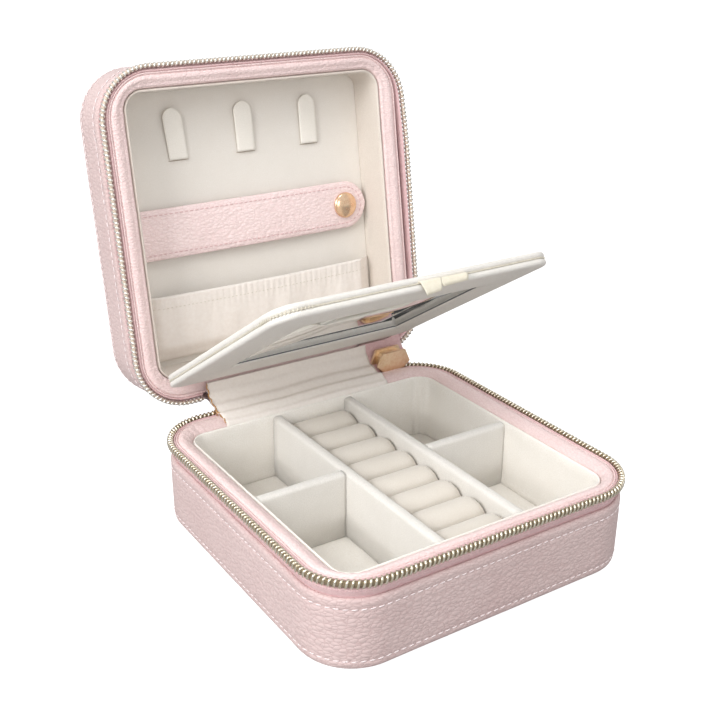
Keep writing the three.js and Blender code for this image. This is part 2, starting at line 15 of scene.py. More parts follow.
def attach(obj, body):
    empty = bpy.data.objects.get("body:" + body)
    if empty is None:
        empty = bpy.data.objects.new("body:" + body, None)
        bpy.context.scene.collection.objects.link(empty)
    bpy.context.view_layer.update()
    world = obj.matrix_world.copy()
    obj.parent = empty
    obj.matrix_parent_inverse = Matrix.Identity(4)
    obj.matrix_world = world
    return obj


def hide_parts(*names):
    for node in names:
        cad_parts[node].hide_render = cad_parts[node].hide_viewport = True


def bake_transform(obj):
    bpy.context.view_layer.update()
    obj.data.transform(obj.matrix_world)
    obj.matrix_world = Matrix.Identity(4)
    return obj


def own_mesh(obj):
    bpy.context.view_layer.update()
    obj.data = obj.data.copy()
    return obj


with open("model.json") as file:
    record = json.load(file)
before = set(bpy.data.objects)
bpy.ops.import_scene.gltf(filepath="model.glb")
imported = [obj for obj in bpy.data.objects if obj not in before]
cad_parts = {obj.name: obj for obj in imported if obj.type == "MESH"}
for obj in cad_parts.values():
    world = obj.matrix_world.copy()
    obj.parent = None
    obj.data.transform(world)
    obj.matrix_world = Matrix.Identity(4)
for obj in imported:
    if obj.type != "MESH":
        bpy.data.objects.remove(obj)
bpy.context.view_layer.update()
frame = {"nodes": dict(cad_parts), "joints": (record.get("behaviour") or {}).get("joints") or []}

MM = 0.001
HERE = Matrix.Identity(4)

# ---- Places, worked out from the frame ----


def joint(name):
    return next(j for j in frame["joints"] if j["name"] == name)


def turned(pivot, degrees):
    """A turn about a line along X through the pivot."""
    spin = Matrix.Rotation(math.radians(degrees), 4, "X")
    return Matrix.Translation(pivot) @ spin @ Matrix.Translation(-pivot)


LID_PIVOT = Vector(joint("lid_hinge")["pos_m"])
FLAP_PIVOT = Vector(joint("flap_hinge")["pos_m"])
LID = turned(LID_PIVOT, -joint("lid_hinge")["range_deg"][1])
FLAP = turned(FLAP_PIVOT, -joint("flap_hinge")["range_deg"][0]) @ LID


def closed_box(node, place=HERE):
    """Lowest and highest corner of a CAD node in millimetres, with the case closed."""
    back = place.inverted()
    points = [back @ v.co / MM for v in frame["nodes"][node].data.vertices]
    low = Vector([min(p[i] for p in points) for i in range(3)])
    high = Vector([max(p[i] for p in points) for i in range(3)])
    return low, high


# ---- Driving dimensions, in millimetres ----
WALL_LOW, WALL_HIGH = closed_box("base_outer_wall")
HALF_X = WALL_HIGH.x
HALF_Y = WALL_HIGH.y
CORNER_RADIUS = 23.5
CORNER_TIGHTENING = 1.36  # corner radius lost for each millimetre of inset
LEAST_RADIUS = 1.0
CORNER_STEPS = 16
SIDE_STEPS = 26
TRAY_SHIFT = -1.0  # the lined opening sits this far towards the front
LINING_INSET = HALF_X - (closed_box("base_wall_lining")[1].x - 1.4)
ZIP_START_X = closed_box("zip_end_stop")[0].x - 0.3
ZIP_END_ANGLE = {"base": 70.0, "lid": 66.0}  # in the back right corner, in degrees
COIL_PITCH = 2.03
COIL_WIRE = 0.54  # radius
COIL_HEIGHT = 3.8
COIL_WIDTH = {"base": 2.8, "lid": 2.3}
COIL_TURN_STEPS = 14
STITCH_PITCH = 3.3
STITCH_LENGTH = 2.3
STITCH_RADIUS = 0.22


class Half:
    """One half of the case. d is the depth of a point below the plane of its zip teeth."""

    def __init__(self, name, body, place, up):
        self.name, self.body, self.place, self.up = name, body, place, up
        teeth = closed_box(f"{name}_zip_teeth", place)
        panel = closed_box(f"{name}_{'bottom' if up > 0 else 'top'}_panel", place)
        lining = closed_box(f"{name}_wall_lining", place)
        wall = closed_box(f"{name}_outer_wall", place)
        near, far = (1, 0) if up > 0 else (0, 1)
        self.plane = teeth[near].z
        self.panel = self.depth(panel[far].z)
        self.lip = self.depth(wall[near].z)
        self.edge = self.depth(lining[near].z)
        self.floor = self.depth(lining[far].z)
        self.zip_end = ZIP_END_ANGLE[name]

    def depth(self, z):
        return self.up * (self.plane - z)

    def z(self, d):
        return self.plane - self.up * d


BASE = Half("base", "base", HERE, 1)
TOP = Half("lid", "lid", LID, -1)

# ---- Mesh helpers ----


def lerp(a, b, t):
    return a + (b - a) * t


def smooth_step(t):
    t = min(1.0, max(0.0, t))
    return t * t * (3 - 2 * t)


def steps(a, b, count):
    """count + 1 even values from a to b."""
    return [lerp(a, b, i / count) for i in range(count + 1)]


def wave_noise(x, y, z, size, seed=0.0):
    """Smooth noise from about -1 to 1, with features of the given size in millimetres."""
    return noise.noise(Vector((x / size + seed, y / size - seed, z / size + 2 * seed)))


def line_points(a, b, count):
    """Points from a to b, without a itself."""
    return [tuple(lerp(p, q, i / count) for p, q in zip(a, b)) for i in range(1, count + 1)]


def rounded_rectangle(half_x, half_y, radius, middle_y=0.0, start_x=None, end_angle=None):
    """Points anticlockwise round a rounded rectangle from its back left corner, or, given start_x, an
    open run that starts there on the back side and ends at an angle in the back right corner."""
    corners = ((-1, 1, 90), (-1, -1, 180), (1, -1, 270), (1, 1, 0))
    points = []
    if start_x is not None:
        points.append((start_x, half_y + middle_y))
    for number, (sx, sy, start) in enumerate(corners):
        sweep = end_angle if start_x is not None and number == 3 else 90.0
        centre = (sx * (half_x - radius), sy * (half_y - radius) + middle_y)
        arc = []
        for i in range(CORNER_STEPS + 1):
            angle = math.radians(start + sweep * i / CORNER_STEPS)
            arc.append((centre[0] + radius * math.cos(angle), centre[1] + radius * math.sin(angle)))
        if points:
            points += line_points(points[-1], arc[0], SIDE_STEPS)
            arc = arc[1:]
        points += arc
    if start_x is None:
        points += line_points(points[-1], points[0], SIDE_STEPS)[:-1]
    return points


def case_outline(inset, shift=0.0, zip_end=None):
    """The case's outline at an inset, closed, or along the zip as far as an angle in its last corner."""
    radius = max(LEAST_RADIUS, CORNER_RADIUS - CORNER_TIGHTENING * inset)
    start = ZIP_START_X if zip_end else None
    return rounded_rectangle(HALF_X - inset, HALF_Y - inset, radius, shift, start, zip_end)


def arc_lengths(points, closed):
    lengths = [0.0]
    loop = points + [points[0]] if closed else points
    for a, b in zip(loop, loop[1:]):
        lengths.append(lengths[-1] + math.dist(a, b))
    return lengths


def softened(rings, between, closed):
    """The rings with others between them, on smooth curves that pass through the given ones."""
    grid = [np.array(ring) for ring in rings]
    count = len(grid)
    last = count if closed else count - 1
    made = []
    for r in range(last):
        a, b = grid[r], grid[(r + 1) % count]
        before = grid[r - 1] if closed or r else 2 * a - b
        after = grid[(r + 2) % count] if closed or r + 2 < count else 2 * b - a
        gaps = [max(1e-4, float(np.mean(np.linalg.norm(q - p, axis=1)))) for p, q in
                ((before, a), (a, b), (b, after))]
        slope_a = ((a - before) / gaps[0] * gaps[1] + (b - a) / gaps[1] * gaps[0]) / (gaps[0] + gaps[1])
        slope_b = ((b - a) / gaps[1] * gaps[2] + (after - b) / gaps[2] * gaps[1]) / (gaps[1] + gaps[2])
        for step in range(between + 1):
            t = step / (between + 1)
            made.append((2 * t**3 - 3 * t**2 + 1) * a + (t**3 - 2 * t**2 + t) * gaps[1] * slope_a
                        + (3 * t**2 - 2 * t**3) * b + (t**3 - t**2) * gaps[1] * slope_b)
    if not closed:
        made.append(grid[-1])
    return [[tuple(map(float, point)) for point in ring] for ring in made]


def loft(rings, closed_ring=True, closed_profile=True, cap_first=False, cap_last=False, between=0):
    """Faces between neighbouring rings of points, with UVs in metres along and across the rings.
    Rings that aren't closed loops get flat ends where the profile is closed."""
    if between:
        rings = softened(rings, between, closed_profile)
    count = len(rings[0])
    points = [p for ring in rings for p in ring]
    middle = rings[len(rings) // 2]
    along = arc_lengths(middle, closed_ring)
    across = arc_lengths([ring[0] for ring in rings], closed_profile)
    faces, uvs = [], []
    spans = count if closed_ring else count - 1
    for r in range(len(rings) if closed_profile else len(rings) - 1):
        here, there = r * count, ((r + 1) % len(rings)) * count
        v0, v1 = across[r] * MM, across[r + 1] * MM
        for i in range(spans):
            j = (i + 1) % count
            faces.append((here + i, here + j, there + j, there + i))
            u0, u1 = along[i] * MM, along[i + 1] * MM
            uvs.append(((u0, v0), (u1, v0), (u1, v1), (u0, v1)))
    loops = []
    if cap_first:
        loops.append(list(range(count)))
    if cap_last:
        loops.append([(len(rings) - 1) * count + i for i in range(count)])
    if not closed_ring and closed_profile:
        loops.append([r * count for r in range(len(rings))])
        loops.append([r * count + count - 1 for r in range(len(rings))])
    for loop in loops:
        faces.append(tuple(loop))
        uvs.append(tuple((points[k][0] * MM, points[k][1] * MM) for k in loop))
    return points, faces, uvs


def capped(rings):
    """A loft along its rings, with a flat face on the first and the last one."""
    return loft(rings, closed_profile=False, cap_first=True, cap_last=True)


def merged(*shapes):
    """Several (points, faces, uvs) shapes as one."""
    points, faces, uvs = [], [], []
    for more_points, more_faces, more_uvs in shapes:
        start = len(points)
        points += more_points
        faces += [tuple(start + k for k in face) for face in more_faces]
        uvs += more_uvs
    return points, faces, uvs


def make_piece(name, shape, place, body, look, replaces=(), flat=False):
    """A named mesh object from a shape in the closed case's millimetres, riding on its CAD body."""
    points, faces, uvs = shape
    mesh = bpy.data.meshes.new(name)
    mesh.from_pydata([place @ (Vector(p) * MM) for p in points], [], faces)
    layer = mesh.uv_layers.new(name="UVMap")
    corners = [uv for face in uvs for uv in face]
    layer.data.foreach_set("uv", [value for uv in corners for value in uv])
    work = bmesh.new()
    work.from_mesh(mesh)
    bmesh.ops.recalc_face_normals(work, faces=work.faces)
    work.to_mesh(mesh)
    work.free()
    mesh.polygons.foreach_set("use_smooth", [not flat] * len(mesh.polygons))
    mesh.materials.append(look)
    piece = bpy.data.objects.new(name, mesh)
    bpy.context.scene.collection.objects.link(piece)
    if body:
        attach(piece, body)
    if replaces:
        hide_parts(*replaces)
    return piece


def wall_shape(half, profile, shift_from=None, zip_end=None, wobble=None, **options):
    """A wall round the case from [inset, d] points. Insets past shift_from move with the tray."""
    rings = []
    for inset, d in profile:
        share = 0.0 if shift_from is None else smooth_step((inset - shift_from) / 4.0)
        outline = case_outline(inset, TRAY_SHIFT * share, zip_end)
        ring = []
        for x, y in outline:
            z = half.z(d)
            if wobble:
                x, y, z = wobble(x, y, z, inset, d)
            ring.append((x, y, z))
        rings.append(ring)
    return loft(rings, closed_ring=not zip_end, **options)


def thick_line(line, thickness):
    """The closed profile of a sheet of even thickness along a line of 2-D points."""
    out, back = [], []
    for i, point in enumerate(line):
        before, after = line[max(0, i - 1)], line[min(len(line) - 1, i + 1)]
        dx, dy = after[0] - before[0], after[1] - before[1]
        size = math.hypot(dx, dy)
        nx, ny = -dy / size * thickness / 2, dx / size * thickness / 2
        out.append((point[0] + nx, point[1] + ny))
        back.append((point[0] - nx, point[1] - ny))
    return out + back[::-1]


def tube_shape(path, radius, sides=6, closed=False):
    """A tube along 3-D points, narrowed to rounded ends where it isn't a closed loop."""
    rings = []
    count = len(path)
    for i, point in enumerate(path):
        before = path[i - 1] if closed or i else path[0]
        after = path[(i + 1) % count] if closed or i < count - 1 else path[-1]
        tangent = (Vector(after) - Vector(before)).normalized()
        side = tangent.cross(Vector((0, 0, 1)))
        if side.length < 1e-3:
            side = tangent.cross(Vector((1, 0, 0)))
        side.normalize()
        up = side.cross(tangent)
        end = not closed and i in (0, count - 1)
        r = radius * (0.45 if end else 1.0)
        ring = []
        for k in range(sides):
            angle = 2 * math.pi * k / sides
            offset = side * (r * math.cos(angle)) + up * (r * math.sin(angle))
            ring.append(tuple(Vector(point) + offset))
        rings.append(ring)
    return loft(rings, closed_profile=closed, cap_first=not closed, cap_last=not closed)


def walk(points, pitch, closed):
    """Places at an even pitch along a 2-D line: (x, y, tangent x, tangent y)."""
    lengths = arc_lengths(points, closed)
    loop = points + [points[0]] if closed else points
    total = lengths[-1]
    count = max(1, round(total / pitch))
    places, segment = [], 0
    for i in range(count):
        s = total * (i + 0.5) / count
        while lengths[segment + 1] < s:
            segment += 1
        a, b = loop[segment], loop[segment + 1]
        size = lengths[segment + 1] - lengths[segment]
        t = (s - lengths[segment]) / size
        tangent = ((b[0] - a[0]) / size, (b[1] - a[1]) / size)
        places.append((lerp(a[0], b[0], t), lerp(a[1], b[1], t), *tangent))
    return places


def stitch_row(points, z, closed, pitch, length, radius, lift=0.0, slant=0.0):
    """A row of sewing stitches along a line at height z. lift bows each one out of the surface."""
    shapes = []
    for x, y, tx, ty in walk(points, pitch, closed):
        path = []
        for t in (-0.5, -0.25, 0.0, 0.25, 0.5):
            bow = lift * (1 - (2 * t) ** 2)
            dx, dy = tx * t * length + ty * bow, ty * t * length - tx * bow
            path.append((x + dx, y + dy, z + slant * t))
        shapes.append(tube_shape(path, radius, sides=6))
    return merged(*shapes)


# ---- Materials ----


def new_material(name):
    material = bpy.data.materials.new(name)
    material.use_nodes = True
    tree = material.node_tree
    return material, tree, tree.nodes["Principled BSDF"]


def node(tree, kind, inputs=(), **settings):
    """A shader node with its settings and inputs. An input is a value or another node's socket."""
    made = tree.nodes.new("ShaderNode" + kind)
    for key, value in settings.items():
        setattr(made, key, value)
    for key, value in dict(inputs).items():
        socket = made.inputs[key]
        if isinstance(value, bpy.types.NodeSocket):
            tree.links.new(value, socket)
        else:
            socket.default_value = value
    return made


def rgba(colour):
    return (*colour, 1.0)


def mix_colour(tree, factor, a, b, blend="MIX"):
    made = node(tree, "Mix", data_type="RGBA", blend_type=blend)
    for key, value in ((0, factor), (6, a), (7, b)):
        if isinstance(value, bpy.types.NodeSocket):
            tree.links.new(value, made.inputs[key])
        else:
            made.inputs[key].default_value = value
    return made.outputs[2]


def remap(tree, value, from_low, from_high, to_low=0.0, to_high=1.0):
    inputs = {"Value": value, "From Min": from_low, "From Max": from_high,
              "To Min": to_low, "To Max": to_high}
    return node(tree, "MapRange", inputs, interpolation_type="SMOOTHSTEP").outputs[0]


def maths(tree, operation, a, b):
    return node(tree, "Math", {0: a, 1: b}, operation=operation).outputs[0]


def noise_of(tree, vector, size, detail=2.0, roughness=0.5):
    """Noise with features of the given size in millimetres."""
    inputs = {"Vector": vector, "Scale": 1 / (size * MM), "Detail": detail, "Roughness": roughness}
    return node(tree, "TexNoise", inputs).outputs["Fac"]


def object_coordinates(tree):
    return node(tree, "TexCoord").outputs["Object"]


def uv_coordinates(tree):
    return node(tree, "TexCoord").outputs["UV"]


def set_bump(tree, shader, height, distance_mm, strength=1.0):
    inputs = {"Height": height, "Distance": distance_mm * MM, "Strength": strength}
    tree.links.new(node(tree, "Bump", inputs).outputs[0], shader.inputs["Normal"])


def set_values(shader, **values):
    for key, value in values.items():
        shader.inputs[key.replace("_", " ")].default_value = value


def leather(name, pale, deep, cell, depth, roughness=0.46):
    """Pebbled leather: uneven rounded cells, longer than they are high, between narrow creases that are
    coloured darker as painted shade.
    """
    material, tree, shader = new_material(name)
    place = object_coordinates(tree)
    stretched = node(tree, "Mapping", {"Vector": place, "Scale": (0.66, 0.66, 1.15)}).outputs[0]
    bend = node(tree, "TexNoise", {"Vector": place, "Scale": 1 / (2.4 * cell * MM), "Detail": 1.0})
    pushed = node(tree, "VectorMath", {0: bend.outputs["Color"], 1: (0.5, 0.5, 0.5)}, operation="SUBTRACT")
    scaled = node(tree, "VectorMath", {0: pushed.outputs[0], "Scale": 0.8 * cell * MM}, operation="SCALE")
    warped = node(tree, "VectorMath", {0: stretched, 1: scaled.outputs[0]}, operation="ADD").outputs[0]
    edge = node(tree, "TexVoronoi", {"Vector": warped, "Scale": 1 / (cell * MM), "Randomness": 1.0},
                feature="DISTANCE_TO_EDGE").outputs["Distance"]
    centre = node(tree, "TexVoronoi", {"Vector": warped, "Scale": 1 / (cell * MM), "Randomness": 1.0},
                  feature="F1").outputs["Distance"]
    dome = remap(tree, centre, 0.05, 0.85, 1.0, 0.0)
    pores = noise_of(tree, place, cell * 0.25, 2.0)
    swell = noise_of(tree, place, cell * 3.0, 1.0)
    crease = remap(tree, edge, 0.0, 0.11)
    height = maths(tree, "ADD", maths(tree, "MULTIPLY", dome, 0.7), maths(tree, "MULTIPLY", pores, 0.12))
    height = maths(tree, "ADD", height, maths(tree, "MULTIPLY", crease, 0.22))
    height = maths(tree, "ADD", height, maths(tree, "MULTIPLY", swell, 0.8))
    patches = noise_of(tree, place, 22.0, 3.0)
    # Painted shade: the colour turns from pale to deep in the narrow creases between the cells, where shade
    # falls.
    base = mix_colour(tree, remap(tree, edge, 0.0, 0.11, 0.5, 1.0), rgba(deep), rgba(pale))
    # Random patches of the deeper tone, laid over the painted crease shade.
    patches_over_crease_shade = mix_colour(tree, remap(tree, patches, 0.35, 0.75, 0.0, 0.25), base, rgba(deep))
    tree.links.new(patches_over_crease_shade, shader.inputs["Base Color"])
    rough = remap(tree, pores, 0.3, 0.7, roughness - 0.06, roughness + 0.08)
    tree.links.new(rough, shader.inputs["Roughness"])
    set_bump(tree, shader, height, depth)
    set_values(shader, Specular_IOR_Level=0.42, Sheen_Weight=0.08, Sheen_Roughness=0.5)
    return material


def napped(name, pale, deep, nap=0.5, depth=0.13, sheen=0.3):
    """Short-piled cloth, such as velvet or suede: fine fibres, brushed patches and a soft sheen."""
    material, tree, shader = new_material(name)
    place = object_coordinates(tree)
    fibres = noise_of(tree, place, nap, 3.0, 0.7)
    brushed = noise_of(tree, place, 9.0, 3.0, 0.55)
    base = mix_colour(tree, remap(tree, fibres, 0.3, 0.7), rgba(deep), rgba(pale))
    patches = mix_colour(tree, remap(tree, brushed, 0.35, 0.7, 0.0, 0.4), base, rgba(deep))
    tree.links.new(patches, shader.inputs["Base Color"])
    height = maths(tree, "ADD", fibres, maths(tree, "MULTIPLY", brushed, 1.5))
    set_bump(tree, shader, height, depth)
    set_values(shader, Roughness=0.95, Specular_IOR_Level=0.15, Sheen_Weight=sheen, Sheen_Roughness=0.45)
    return material


def woven(name, pale, deep, thread=0.35, depth=0.06, roughness=0.85, sheen=0.15, slanted=0.0):
    """Woven cloth: crossing threads along and across the sheet, in UVs measured in metres."""
    material, tree, shader = new_material(name)
    place = node(tree, "Mapping", {"Vector": uv_coordinates(tree), "Rotation": (0, 0, slanted)}).outputs[0]
    bands = []
    for direction in ("X", "Y"):
        inputs = {"Vector": place, "Scale": 0.314 / (thread * MM), "Distortion": 0.6, "Detail": 1.0,
                  "Detail Scale": 2.0}
        bands.append(node(tree, "TexWave", inputs, bands_direction=direction).outputs["Fac"])
    threads = maths(tree, "MULTIPLY", bands[0], bands[1])
    slubs = noise_of(tree, object_coordinates(tree), 1.6, 3.0)
    shade = maths(tree, "ADD", maths(tree, "MULTIPLY", threads, 0.6), maths(tree, "MULTIPLY", slubs, 0.6))
    base = mix_colour(tree, remap(tree, shade, 0.1, 0.8), rgba(deep), rgba(pale))
    tree.links.new(base, shader.inputs["Base Color"])
    set_bump(tree, shader, shade, depth)
    set_values(shader, Roughness=roughness, Specular_IOR_Level=0.2, Sheen_Weight=sheen)
    return material


def metal(name, bright, dull, roughness, scratch=0.4):
    """Plated metal with fine wear: duller patches and small unevenness."""
    material, tree, shader = new_material(name)
    place = object_coordinates(tree)
    wear = noise_of(tree, place, 1.8, 4.0, 0.65)
    fine = noise_of(tree, place, scratch, 2.0)
    tree.links.new(mix_colour(tree, remap(tree, wear, 0.4, 0.7), rgba(bright), rgba(dull)),
                   shader.inputs["Base Color"])
    tree.links.new(remap(tree, wear, 0.3, 0.8, roughness, roughness + 0.15), shader.inputs["Roughness"])
    set_bump(tree, shader, fine, 0.012)
    set_values(shader, Metallic=1.0)
    return material


def mirror_look():
    material, tree, shader = new_material("silvered_glass")
    smear = noise_of(tree, object_coordinates(tree), 14.0, 3.0)
    tree.links.new(remap(tree, smear, 0.4, 0.9, 0.01, 0.05), shader.inputs["Roughness"])
    tint = mix_colour(tree, smear, rgba((0.86, 0.88, 0.87)), rgba((0.9, 0.91, 0.9)))
    tree.links.new(tint, shader.inputs["Base Color"])
    set_values(shader, Metallic=1.0)
    return material


def board_look(name, pale, deep):
    """Grey board or foam, seen only if the case is taken apart."""
    material, tree, shader = new_material(name)
    grain = noise_of(tree, object_coordinates(tree), 0.8, 4.0, 0.7)
    tree.links.new(mix_colour(tree, grain, rgba(deep), rgba(pale)), shader.inputs["Base Color"])
    set_bump(tree, shader, grain, 0.1)
    set_values(shader, Roughness=0.9)
    return material


PINK = (0.66, 0.515, 0.5)
PINK_SHADE_AND_PATCH = (0.52, 0.36, 0.35)
LOOKS = {
    "shell": leather("pebbled_leather", PINK, PINK_SHADE_AND_PATCH, cell=1.75, depth=0.26),
    "rim": leather("soft_leather", (0.86, 0.685, 0.67), (0.74, 0.52, 0.51), cell=1.1, depth=0.22,
                   roughness=0.42),
    "strap": leather("strap_leather", (0.9, 0.735, 0.725), (0.78, 0.57, 0.56), cell=1.5, depth=0.3),
    "tape": woven("zip_tape_weave", (0.88, 0.66, 0.66), (0.7, 0.44, 0.45), thread=0.34, depth=0.14,
                  slanted=0.75),
    "thread_pale": woven("pale_thread", (0.93, 0.86, 0.86), (0.82, 0.72, 0.72), thread=0.12, depth=0.03),
    "thread_pink": woven("pink_thread", (0.78, 0.55, 0.55), (0.64, 0.4, 0.41), thread=0.12, depth=0.03),
    "thread_cream": woven("cream_thread", (0.8, 0.77, 0.68), (0.62, 0.56, 0.45), thread=0.12, depth=0.03),
    "thread_tan": woven("tan_thread", (0.62, 0.36, 0.14), (0.42, 0.2, 0.08), thread=0.12, depth=0.03),
    # The cords inside the coils are coloured as painted shade between the coil's turns: near black on the
    # base, tan on the lid.
    "base_core": woven("coil_core_painted_shade", (0.26, 0.21, 0.13), (0.14, 0.1, 0.06), thread=0.2, depth=0.05),
    "lid_core": woven("pale_core_painted_shade", (0.72, 0.62, 0.52), (0.52, 0.42, 0.33), thread=0.2, depth=0.05),
    "teeth": metal("champagne_coil", (0.86, 0.8, 0.68), (0.55, 0.47, 0.33), 0.2),
    "teeth_pale": metal("silvered_coil", (0.93, 0.91, 0.87), (0.68, 0.64, 0.56), 0.22),
    "gold": metal("rose_gold", (0.95, 0.75, 0.53), (0.88, 0.64, 0.41), 0.34, scratch=4.0),
    "cap_gold": metal("cap_gold", (0.95, 0.68, 0.46), (0.85, 0.55, 0.35), 0.16, scratch=2.5),
    "velvet": napped("cream_velvet", (0.97, 0.94, 0.89), (0.87, 0.83, 0.765)),
    "divider": napped("divider_velvet", (0.8, 0.775, 0.735), (0.7, 0.675, 0.63)),
    "roll": napped("roll_velvet", (0.76, 0.715, 0.65), (0.68, 0.625, 0.55), nap=0.3),
    "suede": napped("panel_suede", (0.82, 0.78, 0.73), (0.78, 0.735, 0.675), nap=0.4, sheen=0.2),
    "lining": napped("lining_suede", (0.75, 0.69, 0.625), (0.67, 0.605, 0.54), nap=0.4, sheen=0.2),
    "cloth": woven("lining_cloth", (0.96, 0.91, 0.86), (0.86, 0.79, 0.73), thread=0.28, depth=0.08),
    "flap_cloth": woven("flap_cloth", (0.85, 0.82, 0.78), (0.74, 0.71, 0.66), thread=0.42, depth=0.14),
    "tab": napped("tab_felt", (0.92, 0.88, 0.82), (0.84, 0.8, 0.73), nap=0.3, sheen=0.15),
    "ribbon": woven("satin_ribbon", (0.85, 0.8, 0.68), (0.72, 0.66, 0.52), thread=0.2, depth=0.03,
                    roughness=0.35, sheen=0.3),
    "mirror": mirror_look(),
    "shadow": woven("seam_shadow", (0.5, 0.42, 0.34), (0.4, 0.32, 0.25), thread=0.3),
    # A near-black line round the mirror's window: painted shade where the frame steps down to the glass.
    "border": woven("mirror_edge_painted_shade", (0.16, 0.17, 0.18), (0.1, 0.1, 0.11), thread=0.3),
    "board": board_look("greyboard", (0.5, 0.46, 0.4), (0.36, 0.32, 0.27)),
    "foam": board_look("rim_foam", (0.9, 0.87, 0.8), (0.8, 0.76, 0.68)),
}


# ---- The two halves of the case ----
PANEL = 2.2  # thickness of the leather-covered panels
SEAM_FROM_EDGE = 4.0  # the rows of stitches lie this far from the lip and from the panel
SEAM_GROOVE = 0.14
CAP_INSETS = (70.0, 50.0, 30.0, 14.0, 5.0)


def leather_shell(half):
    """Panel and outer wall in one cover: rounded foot, two sewn grooves and a rolled lip."""
    foot, lip = half.panel, half.lip
    outer = [(inset, foot) for inset in CAP_INSETS]
    outer += [(2.7, foot), (1.3, foot - 0.3), (0.45, foot - 1.1), (0.05, foot - 2.3)]
    outer += [(0.0, foot - SEAM_FROM_EDGE + 0.7), (SEAM_GROOVE, foot - SEAM_FROM_EDGE + 0.2)]
    outer += [(SEAM_GROOVE, foot - SEAM_FROM_EDGE - 0.2), (0.0, foot - SEAM_FROM_EDGE - 0.7)]
    outer += [(-0.12, d) for d in steps(foot - 7, lip + 7, 5)]
    outer += [(0.0, lip + SEAM_FROM_EDGE + 0.7), (SEAM_GROOVE, lip + SEAM_FROM_EDGE + 0.2)]
    outer += [(SEAM_GROOVE, lip + SEAM_FROM_EDGE - 0.2), (-0.02, lip + SEAM_FROM_EDGE - 0.8)]
    outer += [(-0.12, lip + 2.2), (-0.02, lip + 1.1), (0.45, lip + 0.25), (1.15, lip - 0.1)]
    outer += [(1.9, lip + 0.15), (2.45, lip + 0.9), (2.75, lip + 2.2)]
    inner = [(2.8, lip + 6), (2.8, foot - PANEL - 0.3), (3.0, foot - PANEL)]
    inner += [(inset, foot - PANEL) for inset in CAP_INSETS[::-1]]

    def uneven(x, y, z, inset, d):
        push = 0.18 * wave_noise(x, y, z, 24.0, 1.7)
        size = math.hypot(x, y)
        return x + push * x / size, y + push * y / size, z

    shape = wall_shape(half, outer + inner, wobble=uneven, closed_profile=False,
                       cap_first=True, cap_last=True, between=1)
    nodes = (f"{half.name}_outer_wall", f"{half.name}_{'bottom' if half.up > 0 else 'top'}_panel")
    make_piece(f"{half.name}_leather", shape, half.place, half.body, LOOKS["shell"], nodes)


def wall_stitches(half):
    rows = []
    line = case_outline(0.06)
    for d in (half.lip + SEAM_FROM_EDGE, half.panel - SEAM_FROM_EDGE):
        row = stitch_row(line, half.z(d), True, STITCH_PITCH, STITCH_LENGTH, STITCH_RADIUS, 0.12, 0.25)
        rows.append(row)
    make_piece(f"{half.name}_stitches", merged(*rows), half.place, half.body, LOOKS["thread_pale"])


ZIP_FLARE = 2.8  # the lid's zip leans out by this much at its right side
TAPE_DEPTH = 8.0
TAPE_THICKNESS = 0.45
TAPE_STITCH_DEPTH = 5.0


def flared(half, x, y, z, d):
    """A point of the zip, moved outwards where the lid's tape hangs loose at the right."""
    if half is BASE:
        return x, y, z
    along = smooth_step((y + HALF_Y) / 50) * smooth_step((HALF_Y - y) / 12)
    share = smooth_step((x - 52) / 16) * smooth_step((TAPE_DEPTH - d) / 6) * (0.3 + 0.7 * along)
    return x + ZIP_FLARE * share, y, z


def zip_tape(half):
    """Woven tape from behind the lip up to the coil, folded back down inside it."""
    line = [(2.4, 10.5), (2.3, 9.0), (2.0, 7.8), (1.3, 6.6), (0.7, 5.4), (0.5, 4.3), (1.3, 3.6), (1.9, 2.6),
            (2.05, 1.7), (2.3, 1.4), (2.5, 1.9), (2.55, 4.2)]
    shape = wall_shape(half, thick_line(line, TAPE_THICKNESS), zip_end=half.zip_end,
                       wobble=lambda x, y, z, inset, d: flared(half, x, y, z, d), between=2)
    node_name = f"{half.name}_zip_tape"
    make_piece(f"{half.name}_tape", shape, half.place, half.body, LOOKS["tape"], (node_name,))
    run = [flared(half, x, y, 0, 5.1)[:2] for x, y in case_outline(0.36, 0, half.zip_end)]
    row = stitch_row(run, half.z(TAPE_STITCH_DEPTH), False, COIL_PITCH * 0.5, 0.62, 0.17, 0.0, 0.6)
    make_piece(f"{half.name}_tape_stitches", row, half.place, half.body, LOOKS["thread_pink"])


def zip_coil(half):
    """The zip's coil: a flattened helix round a cord, sewn along the edge of the tape."""
    run = [flared(half, x, y, 0, 0)[:2] for x, y in case_outline(0.1, 0, half.zip_end)]
    places = walk(run, COIL_PITCH / COIL_TURN_STEPS, False)
    middle = half.z(COIL_HEIGHT / 2)
    wide, tall = COIL_WIDTH[half.name] / 2 - COIL_WIRE, COIL_HEIGHT / 2 - COIL_WIRE
    path = []
    for i, (x, y, tx, ty) in enumerate(places):
        angle = 2 * math.pi * i / COIL_TURN_STEPS
        out = wide * math.copysign(abs(math.cos(angle)) ** 0.75, math.cos(angle))
        rise = tall * math.copysign(abs(math.sin(angle)) ** 0.62, math.sin(angle))
        path.append((x + ty * out, y - tx * out, middle + rise))
    coil = tube_shape(path, COIL_WIRE, sides=6)
    look = LOOKS["teeth" if half is BASE else "teeth_pale"]
    nodes = (f"{half.name}_zip_teeth",)
    make_piece(f"{half.name}_coil", coil, half.place, half.body, look, nodes)
    # The cord runs inside the coil. Its colour is painted shade between the turns.
    core = [(wide * 0.62, -tall * 0.85), (wide * 0.62, tall * 0.8), (0.0, tall * 0.95),
            (-wide * 0.62, tall * 0.8), (-wide * 0.62, -tall * 0.85), (0.0, -tall * 0.95)]
    rings = []
    for out, rise in core:
        rings.append([(x + ty * out, y - tx * out, middle + rise) for x, y, tx, ty in places[::5]])
    cord = loft(rings, closed_ring=False, between=1)
    make_piece(f"{half.name}_coil_core", cord, half.place, half.body, LOOKS[f"{half.name}_core"])


SLIDER_RELIEF = 14.4  # the closing lid's rim keeps this far from the hinge line at the slider


